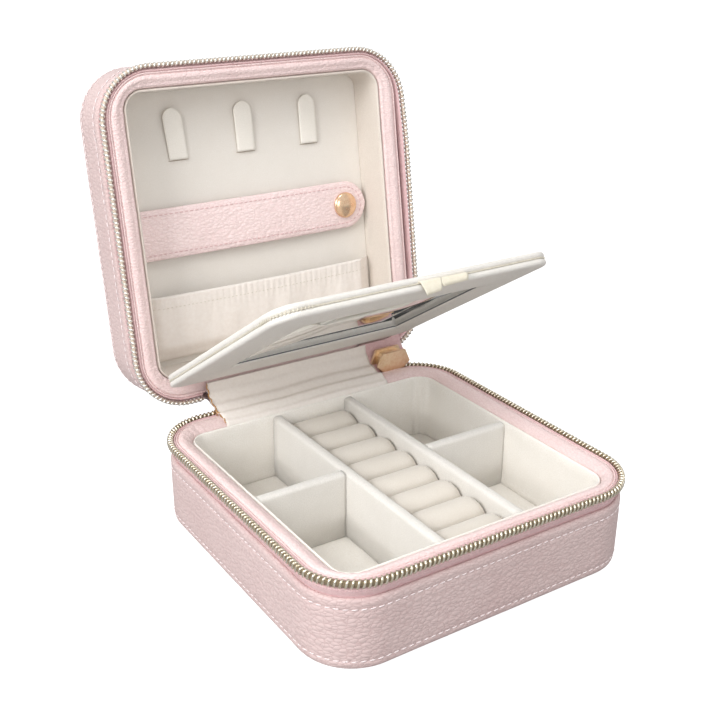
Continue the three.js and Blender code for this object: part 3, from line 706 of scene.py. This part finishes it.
def dented(half, x, y, z):
    """A point of the lid's rim, pushed away from the hinge line where the slider needs room."""
    if half is BASE or y < 0:
        return x, y, z
    dy, dz = y - LID_PIVOT.y / MM, z - LID_PIVOT.z / MM
    reach = math.hypot(dy, dz)
    share = smooth_step((x - 37.5) / 4) * smooth_step((66.5 - x) / 4)
    push = share * max(0.0, SLIDER_RELIEF - reach) / reach
    return x, y + dy * push, z + dz * push


def padded_rim(half):
    """The soft rolled rim between the zip and the lining, with small puckers in its corners."""
    edge = half.edge
    profile = [(2.95, 7.0), (2.75, 4.6), (2.7, 2.6), (2.85, 1.7), (3.3, 1.3), (3.75, 1.75), (3.95, 2.0),
               (4.15, 1.6), (4.6, 1.15), (5.4, 0.95), (6.2, 0.95),
               (7.3, 1.25), (8.5, 1.8), (9.5, edge - 0.65), (10.15, edge + 0.1), (10.42, edge + 1.0),
               (10.42, 7.0)]

    def pucker(x, y, z, inset, d):
        cx = max(0.0, abs(x) - (HALF_X - CORNER_RADIUS))
        cy = max(0.0, abs(y) - (HALF_Y - CORNER_RADIUS))
        in_corner = smooth_step(min(cx, cy) / 4)
        angle = math.atan2(cy, cx)
        fold = math.sin(angle * 26 + 2 * wave_noise(x, y, 0, 9.0)) * in_corner
        lift = 0.22 * wave_noise(x, y, z, 13.0, 4.1) + 0.12 * wave_noise(x, y, z, 5.0, 7.7)
        above = smooth_step((6.5 - d) / 3)
        on_top = smooth_step((inset - 6.0) / 3) * above
        return dented(half, x, y, z + half.up * (lift * above + 0.24 * fold * on_top))

    shape = wall_shape(half, profile, shift_from=4.5, wobble=pucker, between=3)
    rim = make_piece(f"{half.name}_rim", shape, half.place, half.body, LOOKS["rim"],
                     (f"{half.name}_padded_rim",))


def wall_lining(half, look):
    """The lined inner wall, with a folded edge and a few creases in its back right corner."""
    inner, edge, floor = LINING_INSET, half.edge, half.floor
    profile = [(inner + 0.02, d) for d in steps(floor + 0.8, edge + 1.2, 6)]
    profile += [(inner - 0.15, edge + 0.45), (inner - 0.65, edge + 0.02), (inner - 1.1, edge + 0.4)]
    profile += [(inner - 1.32, edge + 1.2), (inner - 1.32, floor + 0.8)]

    def creased(x, y, z, inset, d):
        cx, cy = x - (HALF_X - CORNER_RADIUS), y - (HALF_Y - CORNER_RADIUS)
        push = 0.1 * wave_noise(x, y, z, 18.0, 2.3)
        if min(cx, cy) > -6 and inset > inner - 0.5:
            angle = math.atan2(cy + 14, cx + 14)
            share = smooth_step((d - edge) / 6) * math.exp(-((angle - 0.95) / 0.22) ** 2)
            push += 0.7 * share * math.sin(angle * 46)
        size = math.hypot(x, y)
        return x - push * x / size, y - push * y / size, z

    shape = wall_shape(half, profile, shift_from=-10.0, wobble=creased, between=2)
    make_piece(f"{half.name}_lining", shape, half.place, half.body, LOOKS[look],
               (f"{half.name}_wall_lining",))


def inner_panel(half, look, node_name, thickness=1.6):
    """The lined floor of the tray, or the lid's lined panel."""
    top = half.depth(closed_box(node_name, half.place)[1 if half.up > 0 else 0].z)
    insets = (66.0, 48.0, 34.0, 24.0, 17.0, 13.0, 10.9)
    profile = [(inset, top) for inset in insets] + [(inset, top + thickness) for inset in insets[::-1]]

    def padded_top(x, y, z, inset, d):
        if d > top + 0.1:
            return x, y, z
        return x, y, z + half.up * 0.12 * wave_noise(x, y, z, 16.0, 3.3)

    shape = wall_shape(half, profile, shift_from=-10.0, wobble=padded_top, closed_profile=False,
                       cap_first=True, cap_last=True)
    make_piece(f"{half.name}_inner_panel", shape, half.place, half.body, LOOKS[look], (node_name,))


def build_half(half, wall_look, panel_look, panel_node):
    leather_shell(half)
    wall_stitches(half)
    zip_tape(half)
    zip_coil(half)
    padded_rim(half)
    wall_lining(half, wall_look)
    inner_panel(half, panel_look, panel_node)


# ---- Tray ----


def slab_rings(box, along, round_top, uneven=0.12, seed=0.0, count=28):
    """Sections of an upright padded slab with a rounded top, one after another along an axis."""
    low, high = box
    a, b = (0, 1) if along == "x" else (1, 0)
    middle, half_thick = (low[b] + high[b]) / 2, (high[b] - low[b]) / 2
    rings = []
    for place in steps(low[a], high[a], count):
        ring = []
        section = [(-half_thick, low.z), (-half_thick, lerp(low.z, high.z, 0.4)), (-half_thick, high.z - 3)]
        for k in range(9):
            angle = math.pi * (1 - k / 8)
            flat = math.copysign(abs(math.cos(angle)) ** 0.7, math.cos(angle))
            section.append((half_thick * flat, high.z - round_top + round_top * math.sin(angle) ** 0.8))
        section += [(half_thick, high.z - 3), (half_thick, lerp(low.z, high.z, 0.4)), (half_thick, low.z)]
        for offset, z in section:
            push = uneven * wave_noise(place, offset, z, 12.0, seed)
            across = middle + offset + push
            point = (place, across, z) if along == "x" else (across, place, z)
            ring.append(point)
        rings.append(ring)
    return rings


def dividers():
    names = ("long_divider_left", "long_divider_right", "cross_divider_left", "cross_divider_right")
    for seed, name in enumerate(names):
        along = "y" if name.startswith("long") else "x"
        rings = slab_rings(closed_box(name), along, 1.7, seed=seed * 1.3)
        shape = capped(rings)
        make_piece(name.replace("divider", "partition"), shape, HERE, "base", LOOKS["divider"],
                   (name,))


ROLL_END_RADIUS = 5.5
ROLL_SECTION_STEPS = 20


def ring_roll(number):
    """One soft roll: a half-round top that falls away at both ends."""
    low, high = closed_box(f"ring_roll_{number}")
    middle, half_thick = (low.y + high.y) / 2, (high.y - low.y) / 2 + 0.1
    rings = []
    length = high.x - low.x
    ends = [0.0, 0.35, 0.9, 1.8, 3.0, 4.5]
    places = ends + steps(6.5, length - 6.5, 12) + [length - e for e in ends[::-1]]
    for s in places:
        reach = min(1.0, min(s, length - s) / ROLL_END_RADIUS)
        fall = 1 - math.sqrt(max(0.0, 1 - (1 - reach) ** 2))
        top = high.z - 0.25 - ROLL_END_RADIUS * fall * 0.95
        wide = half_thick * (1 - 0.1 * fall)
        ring = [(low.x + s, middle - wide * 0.96, low.z)]
        for k in range(ROLL_SECTION_STEPS + 1):
            angle = math.pi * (1 - k / ROLL_SECTION_STEPS)
            y = middle + wide * math.cos(angle)
            z = top - half_thick + half_thick * math.sin(angle) ** 0.9
            z += 0.22 * wave_noise(low.x + s, y, z, 9.0, number * 1.9)
            ring.append((low.x + s, y, z))
        ring.append((low.x + s, middle + wide * 0.96, low.z))
        rings.append(ring)
    shape = capped(rings)
    roll = make_piece(f"ring_cushion_{number}", shape, HERE, "base", LOOKS["roll"],
                      (f"ring_roll_{number}",))


# ---- Things fastened in the lid ----


STRIP_SIDES = 20


def strip_rings(length, half_width, half_thick, count, bow):
    """Sections of a flat strip from 0 to length, with one half-round end: (s, across, out)."""
    rings = []
    places = steps(0, length - half_width, count)
    places += [length - half_width + half_width * math.sin(a) for a in steps(0.15, 1.53, 12)]
    for s in places:
        past = max(0.0, s - (length - half_width))
        wide = math.sqrt(max(0.01, half_width**2 - past**2))
        ring = []
        for k in range(STRIP_SIDES):
            angle = 2 * math.pi * k / STRIP_SIDES
            c, q = math.cos(angle), math.sin(angle)
            across = wide * math.copysign(abs(c) ** 0.55, c)
            out = half_thick * math.copysign(abs(q) ** 0.8, q)
            ring.append((s, across, out + bow(s / length, across / half_width)))
        rings.append(ring)
    return rings


def strap():
    """Leather strap across the lid, its free end round, bowed a little away from the panel."""
    low, high = closed_box("jewelry_strap", LID)
    half_width, half_thick = (high.y - low.y) / 2, (high.z - low.z) / 2
    centre_y, centre_z = (high.y + low.y) / 2, (high.z + low.z) / 2

    def bow(t, across):
        arch = 0.9 * math.sin(math.pi * min(1, t * 1.08))
        return arch + 0.15 * wave_noise(t * 120, across * 12, 0, 14.0, 5.0)

    def placed(rings):
        return [[(low.x + s, centre_y + a, centre_z - o) for s, a, o in ring] for ring in rings]

    rings = placed(strip_rings(high.x - low.x, half_width, half_thick, 40, bow))
    shape = capped(rings)
    make_piece("strap_leather", shape, LID, "strap", LOOKS["strap"], ("jewelry_strap",))
    margin = 2.6
    reach = half_width - margin
    end = high.x - half_width
    line = [(low.x + 3, centre_y - reach), (end, centre_y - reach)]
    for a in steps(0.2, math.pi - 0.2, 10):
        line.append((end + reach * math.sin(a), centre_y - reach * math.cos(a)))
    line += [(end, centre_y + reach), (low.x + 3, centre_y + reach)]
    shapes = []
    for x, y, tx, ty in walk(line, 2.5, False):
        t = (x - low.x) / (high.x - low.x)
        z = centre_z - half_thick - bow(t, (y - centre_y) / half_width) + 0.08
        path = []
        for q in (-0.5, -0.2, 0.2, 0.5):
            path.append((x + tx * q * 1.7, y + ty * q * 1.7, z - 0.1 * (1 - 4 * q * q)))
        shapes.append(tube_shape(path, 0.2, sides=6))
    make_piece("strap_stitches", merged(*shapes), LID, "strap", LOOKS["thread_pink"])


TURNED_SIDES = 56


def turned_shape(profile, centre):
    """A piece turned about the lid's depth direction, from [radius, z] points."""
    rings = []
    for radius, z in profile:
        ring = []
        for k in range(TURNED_SIDES):
            angle = 2 * math.pi * k / TURNED_SIDES
            ring.append((centre[0] + radius * math.cos(angle), centre[1] + radius * math.sin(angle), z))
        rings.append(ring)
    return capped(rings)


def snap_cap():
    low, high = closed_box("snap_cap", LID)
    centre = ((low.x + high.x) / 2, (low.y + high.y) / 2)
    radius = (high.x - low.x) / 2
    foot, top = high.z, low.z - 0.2
    profile = [(radius * 0.9, foot), (radius, foot - 0.12), (radius, foot - 0.5),
               (radius * 0.985, foot - 0.68)]
    for a in steps(8, 88, 14):
        turn = math.radians(a)
        profile.append((radius * 0.975 * math.cos(turn), foot - 0.7 + (top - foot + 0.7) * math.sin(turn)))
    make_piece("snap_dome", turned_shape(profile, centre), LID, "strap", LOOKS["cap_gold"],
               ("snap_cap",))


def necklace_tab(number):
    """A stiffened felt tab, round at its free end and sewn through the panel at its foot."""
    name = f"necklace_tab_{number}"
    low, high = closed_box(name, LID)
    half_width, half_thick = (high.x - low.x) / 2, (high.z - low.z) / 2
    centre_x, centre_z = (high.x + low.x) / 2, (high.z + low.z) / 2
    lean = (1.5, 1.1, 0.8)[number - 1]
    skew = (2.0, 0.5, 0.3)[number - 1]

    def bow(t, across):
        return lean * t * t + 0.25 * math.sin(math.pi * t)

    rings = strip_rings(high.y - low.y, half_width, half_thick, 16, bow)
    placed = [[(centre_x + a - skew * s / (high.y - low.y), high.y - s, centre_z - o) for s, a, o in ring]
              for ring in rings]
    shape = capped(placed)
    make_piece(f"tab_{number}_felt", shape, LID, f"tab_{number}", LOOKS["tab"], (name,))
    z = closed_box("lid_panel_lining", LID)[0].z - 0.1
    line = [(centre_x + t * (half_width + 0.4), high.y + 0.35, z) for t in steps(-1, 1, 6)]
    slit = tube_shape(line, 0.18)
    make_piece(f"tab_{number}_slit", slit, LID, "lid", LOOKS["shadow"])


POCKET_CLOTH = 0.7  # thickness


def pocket():
    """Elastic pocket: gathered cloth under a sewn hem, fastened along its foot and at both sides."""
    low, high = closed_box("elastic_pocket", LID)
    panel_z = closed_box("lid_panel_lining", LID)[0].z
    across, up_steps = 120, 22
    rows = []
    for j in range(up_steps + 1):
        up = j / up_steps
        row = []
        for i in range(across + 1):
            t = i / across
            x = lerp(low.x - 0.6, high.x + 0.6, t)
            side = smooth_step(min(t, 1 - t) / 0.07)
            hold = side * smooth_step(up / 0.22)
            deep = lerp(1.0, high.z - low.z - 1.4, hold * (0.55 + 0.45 * up))
            folds = wave_noise(x, 0, up * 9, 10.0, 9.2) + 0.5 * wave_noise(x, up * 6, 0, 4.5, 3.4)
            slack = math.sin(math.pi * min(1.0, up * 1.15)) ** 0.8 if up < 0.87 else 0.25
            gather = 0.3 * math.sin(x * 2.1 + 2 * wave_noise(x, 0, 0, 8.0, 1.1))
            gather = gather * smooth_step((up - 0.6) / 0.3)
            z = panel_z - 0.5 - deep - side * (0.9 * folds * slack + gather)
            dip = 0.8 * math.sin(math.pi * t)
            y = high.y - (high.y - low.y - dip) * up
            row.append((x, y, z))
        rows.append(row)
    back = [[(x, y, z + POCKET_CLOTH) for x, y, z in row] for row in rows]
    shape = loft(rows + back[::-1], closed_ring=False)
    cloth = make_piece("pocket_cloth", shape, LID, "lid", LOOKS["cloth"],
                       ("elastic_pocket",))
    hem_row = int(up_steps * 0.84)
    line = rows[hem_row]
    shapes = []
    for i in range(2, across - 2, 2):
        a, b = Vector(line[i]), Vector(line[i + 1])
        path = [tuple(a + Vector((0, 0, -0.1))), tuple((a + b) / 2 + Vector((0, 0, -0.28))),
                tuple(b + Vector((0, 0, -0.1)))]
        shapes.append(tube_shape(path, 0.16, sides=5))
    make_piece("pocket_hem_stitches", merged(*shapes), LID, "lid", LOOKS["thread_cream"])


# ---- Mirror flap ----
FLAP_LOW, FLAP_HIGH = closed_box("flap_top_board", FLAP)
FRAME_LOW, FRAME_HIGH = closed_box("flap_mirror_frame", FLAP)
MIRROR_LOW, MIRROR_HIGH = closed_box("mirror", FLAP)
FLAP_RADIUS = 10.0
FLAP_MIDDLE = (FLAP_LOW.y + FLAP_HIGH.y) / 2


def flap_outline(inset):
    half_x, half_y = (FLAP_HIGH.x - FLAP_LOW.x) / 2 - inset, (FLAP_HIGH.y - FLAP_LOW.y) / 2 - inset
    return rounded_rectangle(half_x, half_y, max(LEAST_RADIUS, FLAP_RADIUS - inset), FLAP_MIDDLE)


def flap_top():
    """Upper board under cloth: a padded plate with full, rounded edges."""
    low, high = FLAP_LOW.z - 0.1, FLAP_HIGH.z
    middle, tall = (low + high) / 2, (high - low) / 2
    profile = [(inset, high - 0.1) for inset in (58.0, 40.0, 22.0, 10.0, 4.0)]
    for a in steps(80, -80, 10):
        turn = math.radians(a)
        profile.append((1.7 - 1.6 * math.cos(turn) ** 0.8, middle + tall * math.sin(turn)))
    profile += [(inset, low) for inset in (4.0, 10.0, 22.0, 40.0, 58.0)]
    rings = []
    for inset, z in profile:
        ring = [(x, y, z + 0.12 * wave_noise(x, y, z, 14.0, 6.1)) for x, y in flap_outline(inset)]
        rings.append(ring)
    shape = capped(rings)
    make_piece("flap_cover", shape, FLAP, "mirror_flap", LOOKS["flap_cloth"], ("flap_top_board",))


def window_outline(grow):
    """Points round the mirror's window, matched one to one with flap_outline's."""
    half_x = (MIRROR_HIGH.x - MIRROR_LOW.x) / 2 + grow
    half_y = (MIRROR_HIGH.y - MIRROR_LOW.y) / 2 + grow
    return rounded_rectangle(half_x, half_y, 1.2, (MIRROR_LOW.y + MIRROR_HIGH.y) / 2)


def flap_frame():
    """Lower board under cloth, with the window that the mirror lies behind."""
    low, high = FRAME_LOW.z, FRAME_HIGH.z
    middle, tall = (low + high) / 2, (high - low) / 2
    outer, inner = flap_outline(2.0), window_outline(0.9)
    rings = []
    for a in steps(85, -85, 10):
        turn = math.radians(a)
        inset = 1.8 - 1.7 * math.cos(turn) ** 0.8
        ring = [(x, y, middle + tall * math.sin(turn)) for x, y in flap_outline(inset)]
        rings.append(ring)
    for share in steps(0.1, 0.96, 7):
        ring = []
        for (ax, ay), (bx, by) in zip(outer, inner):
            x, y = lerp(ax, bx, share), lerp(ay, by, share)
            ring.append((x, y, low + 0.1 * wave_noise(x, y, 0, 15.0, 8.8)))
        rings.append(ring)
    for grow, z in ((0.5, low + 0.1), (0.1, low + 0.5), (0.0, low + 1.0), (0.0, high - 0.3), (1.0, high)):
        rings.append([(x, y, z) for x, y in window_outline(grow)])
    for share in (0.8, 0.4):
        rings.append([(lerp(ax, bx, share), lerp(ay, by, share), high)
                      for (ax, ay), (bx, by) in zip(outer, inner)])
    shape = loft(rings)
    make_piece("flap_frame_cover", shape, FLAP, "mirror_flap", LOOKS["flap_cloth"],
               ("flap_mirror_frame",))
    # Painted shade: a near-black tube in the step between the frame's window and the mirror.
    border = [(x, y, low + 1.0) for x, y in window_outline(0.15)]
    make_piece("mirror_border", tube_shape(border, 0.3, closed=True), FLAP, "mirror_flap", LOOKS["border"])


def flap_seam():
    """Oversewn seam between the two boards, with coarser gathers at the front left corner."""
    z = (FLAP_LOW.z + FRAME_HIGH.z) / 2
    line = flap_outline(0.75)
    cord = tube_shape([(x, y, z) for x, y in line], 0.32, closed=True)
    shapes = [cord]
    for x, y, tx, ty in walk(flap_outline(0.25), 1.5, True):
        corner = x < FLAP_LOW.x + 16 and y < FLAP_LOW.y + 16
        size = 0.85 if corner else 0.4
        thick = 0.22 if corner else 0.13
        path = [(x - tx * 0.25, y - ty * 0.25, z - size), (x + ty * 0.22, y - tx * 0.22, z),
                (x + tx * 0.25, y + ty * 0.25, z + size)]
        shapes.append(tube_shape(path, thick, sides=5))
    make_piece("flap_seam", merged(*shapes), FLAP, "mirror_flap", LOOKS["thread_cream"])


def mirror_glass():
    low, high = MIRROR_LOW.z, MIRROR_HIGH.z
    rings = [[(x, y, z) for x, y in window_outline(g)] for g, z in
             ((-30.0, low + 0.2), (-0.6, low + 0.2), (-0.1, low + 0.5), (0.0, high - 0.2), (-2.0, high))]
    shape = capped(rings)
    make_piece("mirror_glass", shape, FLAP, "mirror_flap", LOOKS["mirror"], ("mirror",))


def ribbon_tab():
    """Satin ribbon caught in the flap's front seam: it comes out, folds down and turns to the right."""
    low, high = closed_box("ribbon_tab", FLAP)
    front = FLAP_LOW.y
    seam = (FLAP_LOW.z + FRAME_HIGH.z) / 2
    hanging = [(5.5, 0.0), (2.5, 0.0), (0.9, 0.2), (0.0, 0.5), (-0.7, 0.5), (-1.15, -0.6),
               (-1.25, -2.2), (-1.1, -3.8), (-0.8, -5.0)]
    tail = [(5.5, 0.0), (2.5, 0.0), (0.9, 0.0), (-0.2, 0.35), (-0.9, 0.2), (-1.3, -0.6),
            (-1.5, -1.8), (-1.2, -3.2)]
    pieces = []
    for x0, x1, path in ((low.x + 1.5, low.x + 11, hanging), (low.x + 10, high.x + 1.5, tail)):
        rings = []
        for t in steps(0, 1, 12):
            x = lerp(x0, x1, t)
            skew = 1.8 * (t - 0.5)
            section = thick_line(path, 0.35)
            rings.append([(x + skew * 0.3 * q, front + p * (1 + 0.2 * t), seam + q * (1.05 - 0.12 * t))
                          for p, q in section])
        pieces.append(capped(rings))
    ribbon = make_piece("ribbon", merged(*pieces), FLAP, "mirror_flap", LOOKS["ribbon"],
                        ("ribbon_tab",))
    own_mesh(ribbon)


# ---- Hinge cloth, spine and zip fittings ----


def sheet_through(route, low_x, high_x, thickness, pleats, seed):
    """A sheet along X through [y, z] points, smoothed, with soft pleats that fade to its ends."""
    samples = []
    for a, b, c, d in zip(route, route[1:], route[2:], route[3:]):
        for t in steps(0, 1, 10)[:-1]:
            point = []
            for p, q, r, s in zip(a, b, c, d):
                point.append(0.5 * (2 * q + (r - p) * t + (2 * p - 5 * q + 4 * r - s) * t * t
                                    + (3 * q - p - 3 * r + s) * t**3))
            samples.append(tuple(point))
    samples.append(tuple(route[-2]))
    rings = []
    for x in steps(low_x, high_x, 60):
        line = []
        for k, (y, z) in enumerate(samples):
            s = k / (len(samples) - 1)
            soft = math.sin(math.pi * s) ** 0.6 if 0 < s < 1 else 0.0
            wave = pleats * soft * math.sin(s * 2 * math.pi * 4.3 + 1.4 * wave_noise(x, 0, 0, 30.0, seed))
            wave += 0.35 * pleats * wave_noise(x, s * 30, 0, 9.0, seed + 2)
            line.append((y, z + wave))
        rings.append([(x, y, z) for y, z in thick_line(line, thickness)])
    return capped(rings)


def hinge_cloth():
    """Pleated cloth that covers both rims between tray and lid."""
    low, high = closed_box("hinge_lining")
    route = [(60.2, 33.0), (62.4, 35.4), (64.4, 37.3), (68.0, 38.5), (72.0, 38.7), (76.2, 40.0), (79.8, 42.4),
             (81.8, 45.6), (82.4, 48.8), (82.6, 52.0)]
    shape = sheet_through(route, low.x - 2.5, high.x, 0.6, 0.55, 2.0)
    cloth = make_piece("hinge_cloth", shape, HERE, None, LOOKS["cloth"], ("hinge_lining",))
    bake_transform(cloth)
    edge = [(low.x - 2.5 + 0.35 * math.sin(k * 1.9), y, z + 0.25) for k, (y, z) in
            enumerate(line_points(route[1], route[2], 4) + line_points(route[2], route[4], 6)
                      + line_points(route[4], route[6], 6) + line_points(route[6], route[8], 6))]
    thread = make_piece("hinge_edge_thread", tube_shape(edge, 0.3), HERE, None, LOOKS["thread_tan"])
    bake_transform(thread)


def spine():
    """Leather over the back of the hinge, from the base's wall to the lid's."""
    low, high = closed_box("leather_spine")
    route = [(75.3, 18.0), (75.3, 22.0), (75.4, 28.0), (76.2, 32.6), (78.6, 35.6), (82.4, 37.4), (87.0, 38.2),
             (92.0, 37.6), (97.6, 36.7), (101.0, 36.2)]
    shape = sheet_through(route, low.x, high.x + 4.5, 1.0, 0.25, 5.0)
    cover = make_piece("spine_leather", shape, HERE, None, LOOKS["shell"], ("leather_spine",))
    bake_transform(cover)


WING_FRONT = 72.4
WING_BACK = 77.6


BEVEL_SEGMENTS = 3


def bevelled(name, node_name, body, look, width):
    """The CAD node's own shape with rounded edges, as a new piece that stands for it."""
    source = frame["nodes"][node_name]
    mesh = source.data.copy()
    mesh.name = name
    work = bmesh.new()
    work.from_mesh(mesh)
    bmesh.ops.remove_doubles(work, verts=work.verts, dist=1e-6)
    bmesh.ops.dissolve_limit(work, angle_limit=0.02, verts=work.verts, edges=work.edges)
    sharp = [e for e in work.edges if len(e.link_faces) == 2 and e.calc_face_angle() > 0.4]
    bmesh.ops.bevel(work, geom=sharp, offset=width * MM, segments=BEVEL_SEGMENTS, profile=0.6, affect="EDGES",
                    clamp_overlap=True)
    work.to_mesh(mesh)
    work.free()
    mesh.polygons.foreach_set("use_smooth", [True] * len(mesh.polygons))
    mesh.materials.clear()
    mesh.materials.append(look)
    piece = bpy.data.objects.new(name, mesh)
    bpy.context.scene.collection.objects.link(piece)
    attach(piece, body)
    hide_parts(node_name)


def slider_bridge():
    """The solid middle of the slider, between its two wings."""
    low, high = closed_box("zip_slider")
    inset = (2.6, 1.2, 0.9, 0.9, 1.2, 2.6)
    rings = []
    for share, back in zip((0.16, 0.22, 0.4, 0.6, 0.78, 0.84), inset):
        x = lerp(low.x, high.x, share)
        front, rear = WING_FRONT, WING_BACK
        rings.append([(x, front, low.z + back), (x, rear, low.z + back), (x, rear, high.z - back),
                      (x, front, high.z - back)])
    shape = capped(rings)
    make_piece("slider_bridge", shape, HERE, "base", LOOKS["gold"], flat=True)


def corner_drop(x):
    """How far the case's outline has curved away from its straight back side at x."""
    past = max(0.0, x - (HALF_X - CORNER_RADIUS))
    return CORNER_RADIUS - math.sqrt(CORNER_RADIUS**2 - past**2)


GUSSET_TURN = (36.0, 44.0)  # between these heights it turns from the base's corner to the lid's


def zip_gusset():
    """Short piece of tape at the slider that joins the tapes of both halves and follows their corner."""
    low, high = closed_box("zip_slider")
    route = [(74.0, 28.5), (74.2, 31.0), (74.5, 34.0), (75.8, 37.2), (79.0, 41.0), (82.0, 45.0), (83.0, 49.0),
             (83.4, 52.0)]
    points, faces, uvs = sheet_through(route, low.x - 3.5, high.x + 1.0, 0.5, 0.1, 8.0)
    bent = []
    for x, y, z in points:
        share = smooth_step((z - GUSSET_TURN[0]) / (GUSSET_TURN[1] - GUSSET_TURN[0]))
        drop = corner_drop(x)
        bent.append((x, y - drop * (1 - share), z + drop * share))
    strip = make_piece("zip_gusset", (bent, faces, uvs), HERE, None, LOOKS["tape"])
    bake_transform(strip)


def zip_fittings():
    slider_bridge()
    zip_gusset()
    bevelled("slider_body", "zip_slider", "base", LOOKS["gold"], 0.3)
    bevelled("slider_pull", "zip_pull", "pull", LOOKS["gold"], 0.25)
    bevelled("zip_stop", "zip_end_stop", "base", LOOKS["gold"], 0.3)


def hidden_nodes():
    """Materials of the CAD nodes that stay: boards, foam and the snap's lower parts."""
    for half in ("base", "lid"):
        for node_name, look in ((f"{half}_wall_board", "board"), (f"{half}_wall_foam", "foam")):
            data = frame["nodes"][node_name].data
            data.materials.clear()
            data.materials.append(LOOKS[look])
    for node_name in ("snap_socket", "snap_stud"):
        data = frame["nodes"][node_name].data
        data.materials.clear()
        data.materials.append(LOOKS["gold"])


# ---- Stage ----


def floor_and_world():
    bpy.ops.mesh.primitive_plane_add(size=8, location=(0, 0, -0.0002))
    floor = bpy.context.object
    floor.name = "floor"
    material, tree, shader = new_material("pale_floor")
    tone = noise_of(tree, object_coordinates(tree), 400.0, 2.0)
    tree.links.new(mix_colour(tree, tone, rgba((0.36, 0.36, 0.36)), rgba((0.4, 0.4, 0.4))),
                   shader.inputs["Base Color"])
    set_values(shader, Roughness=0.9, Specular_IOR_Level=0.1, Emission_Color=(1, 1, 1, 1))
    seen = node(tree, "LightPath").outputs["Is Camera Ray"]
    tree.links.new(seen, shader.inputs["Emission Strength"])
    floor.data.materials.append(material)
    world = bpy.data.worlds.new("studio")
    world.use_nodes = True
    tree = world.node_tree
    soft = tree.nodes["Background"]
    soft.inputs["Color"].default_value = (1, 1, 1, 1)
    soft.inputs["Strength"].default_value = 0.74
    backdrop = node(tree, "Background", {"Color": (1, 1, 1, 1), "Strength": 1.0})
    seen = node(tree, "LightPath").outputs["Is Camera Ray"]
    mixed = node(tree, "MixShader", {0: seen, 1: soft.outputs[0], 2: backdrop.outputs[0]})
    tree.links.new(mixed.outputs[0], tree.nodes["World Output"].inputs["Surface"])
    bpy.context.scene.world = world


def dark_card():
    """A dark card on the floor behind the case, seen only in reflections such as the flap's mirror."""
    bpy.ops.mesh.primitive_plane_add(size=0.34, location=(0.235, 0.25, 0.0005))
    card = bpy.context.object
    card.name = "dark_card"
    material, tree, shader = new_material("dark_felt")
    tone = noise_of(tree, object_coordinates(tree), 4.0, 2.0)
    tree.links.new(mix_colour(tree, tone, rgba((0.01, 0.01, 0.012)), rgba((0.02, 0.02, 0.022))),
                   shader.inputs["Base Color"])
    card.data.materials.append(material)
    card.visible_camera = card.visible_diffuse = card.visible_shadow = False


def area_light(name, place, aim, size, power):
    data = bpy.data.lights.new(name, "AREA")
    data.shape = "DISK"
    data.size = size
    data.energy = power
    light = bpy.data.objects.new(name, data)
    light.location = place
    light.rotation_euler = (Vector(aim) - Vector(place)).to_track_quat("-Z", "Y").to_euler()
    bpy.context.scene.collection.objects.link(light)


def lights():
    area_light("key", (-0.62, -0.12, 0.44), (0, 0, 0.05), 0.4, 3.9)
    area_light("low", (-0.1, -0.62, 0.27), (0, 0.07, 0.05), 0.3, 0.6)
    area_light("top", (-0.1, -0.4, 1.25), (0, 0, 0), 0.6, 3.0)


CAMERA_PLACE = (-0.23483, -0.33444, 0.25496)
CAMERA_AZIMUTH = -33.307
CAMERA_ELEVATION = 23.182
CAMERA_ROLL = 0.413
CAMERA_LENS = 54.69


def camera():
    data = bpy.data.cameras.new("camera")
    data.sensor_width = 36
    data.lens = CAMERA_LENS
    data.clip_start = 0.01
    view = bpy.data.objects.new("camera", data)
    view.location = CAMERA_PLACE
    azimuth, elevation = math.radians(CAMERA_AZIMUTH), math.radians(CAMERA_ELEVATION)
    forward = Vector((-math.sin(azimuth) * math.cos(elevation), math.cos(azimuth) * math.cos(elevation),
                      -math.sin(elevation)))
    turn = forward.to_track_quat("-Z", "Y").to_matrix().to_4x4() @ Matrix.Rotation(
        math.radians(CAMERA_ROLL), 4, "Z")
    view.rotation_euler = turn.to_euler()
    bpy.context.scene.collection.objects.link(view)
    bpy.context.scene.camera = view


def build():
    build_half(BASE, "velvet", "velvet", "base_floor_lining")
    build_half(TOP, "lining", "suede", "lid_panel_lining")
    dividers()
    for number in range(1, 9):
        ring_roll(number)
    strap()
    snap_cap()
    for number in (1, 2, 3):
        necklace_tab(number)
    pocket()
    flap_top()
    flap_frame()
    flap_seam()
    mirror_glass()
    ribbon_tab()
    hinge_cloth()
    spine()
    zip_fittings()
    hidden_nodes()


build()
floor_and_world()
dark_card()
lights()
camera()
bpy.context.scene.view_settings.view_transform = "Standard"
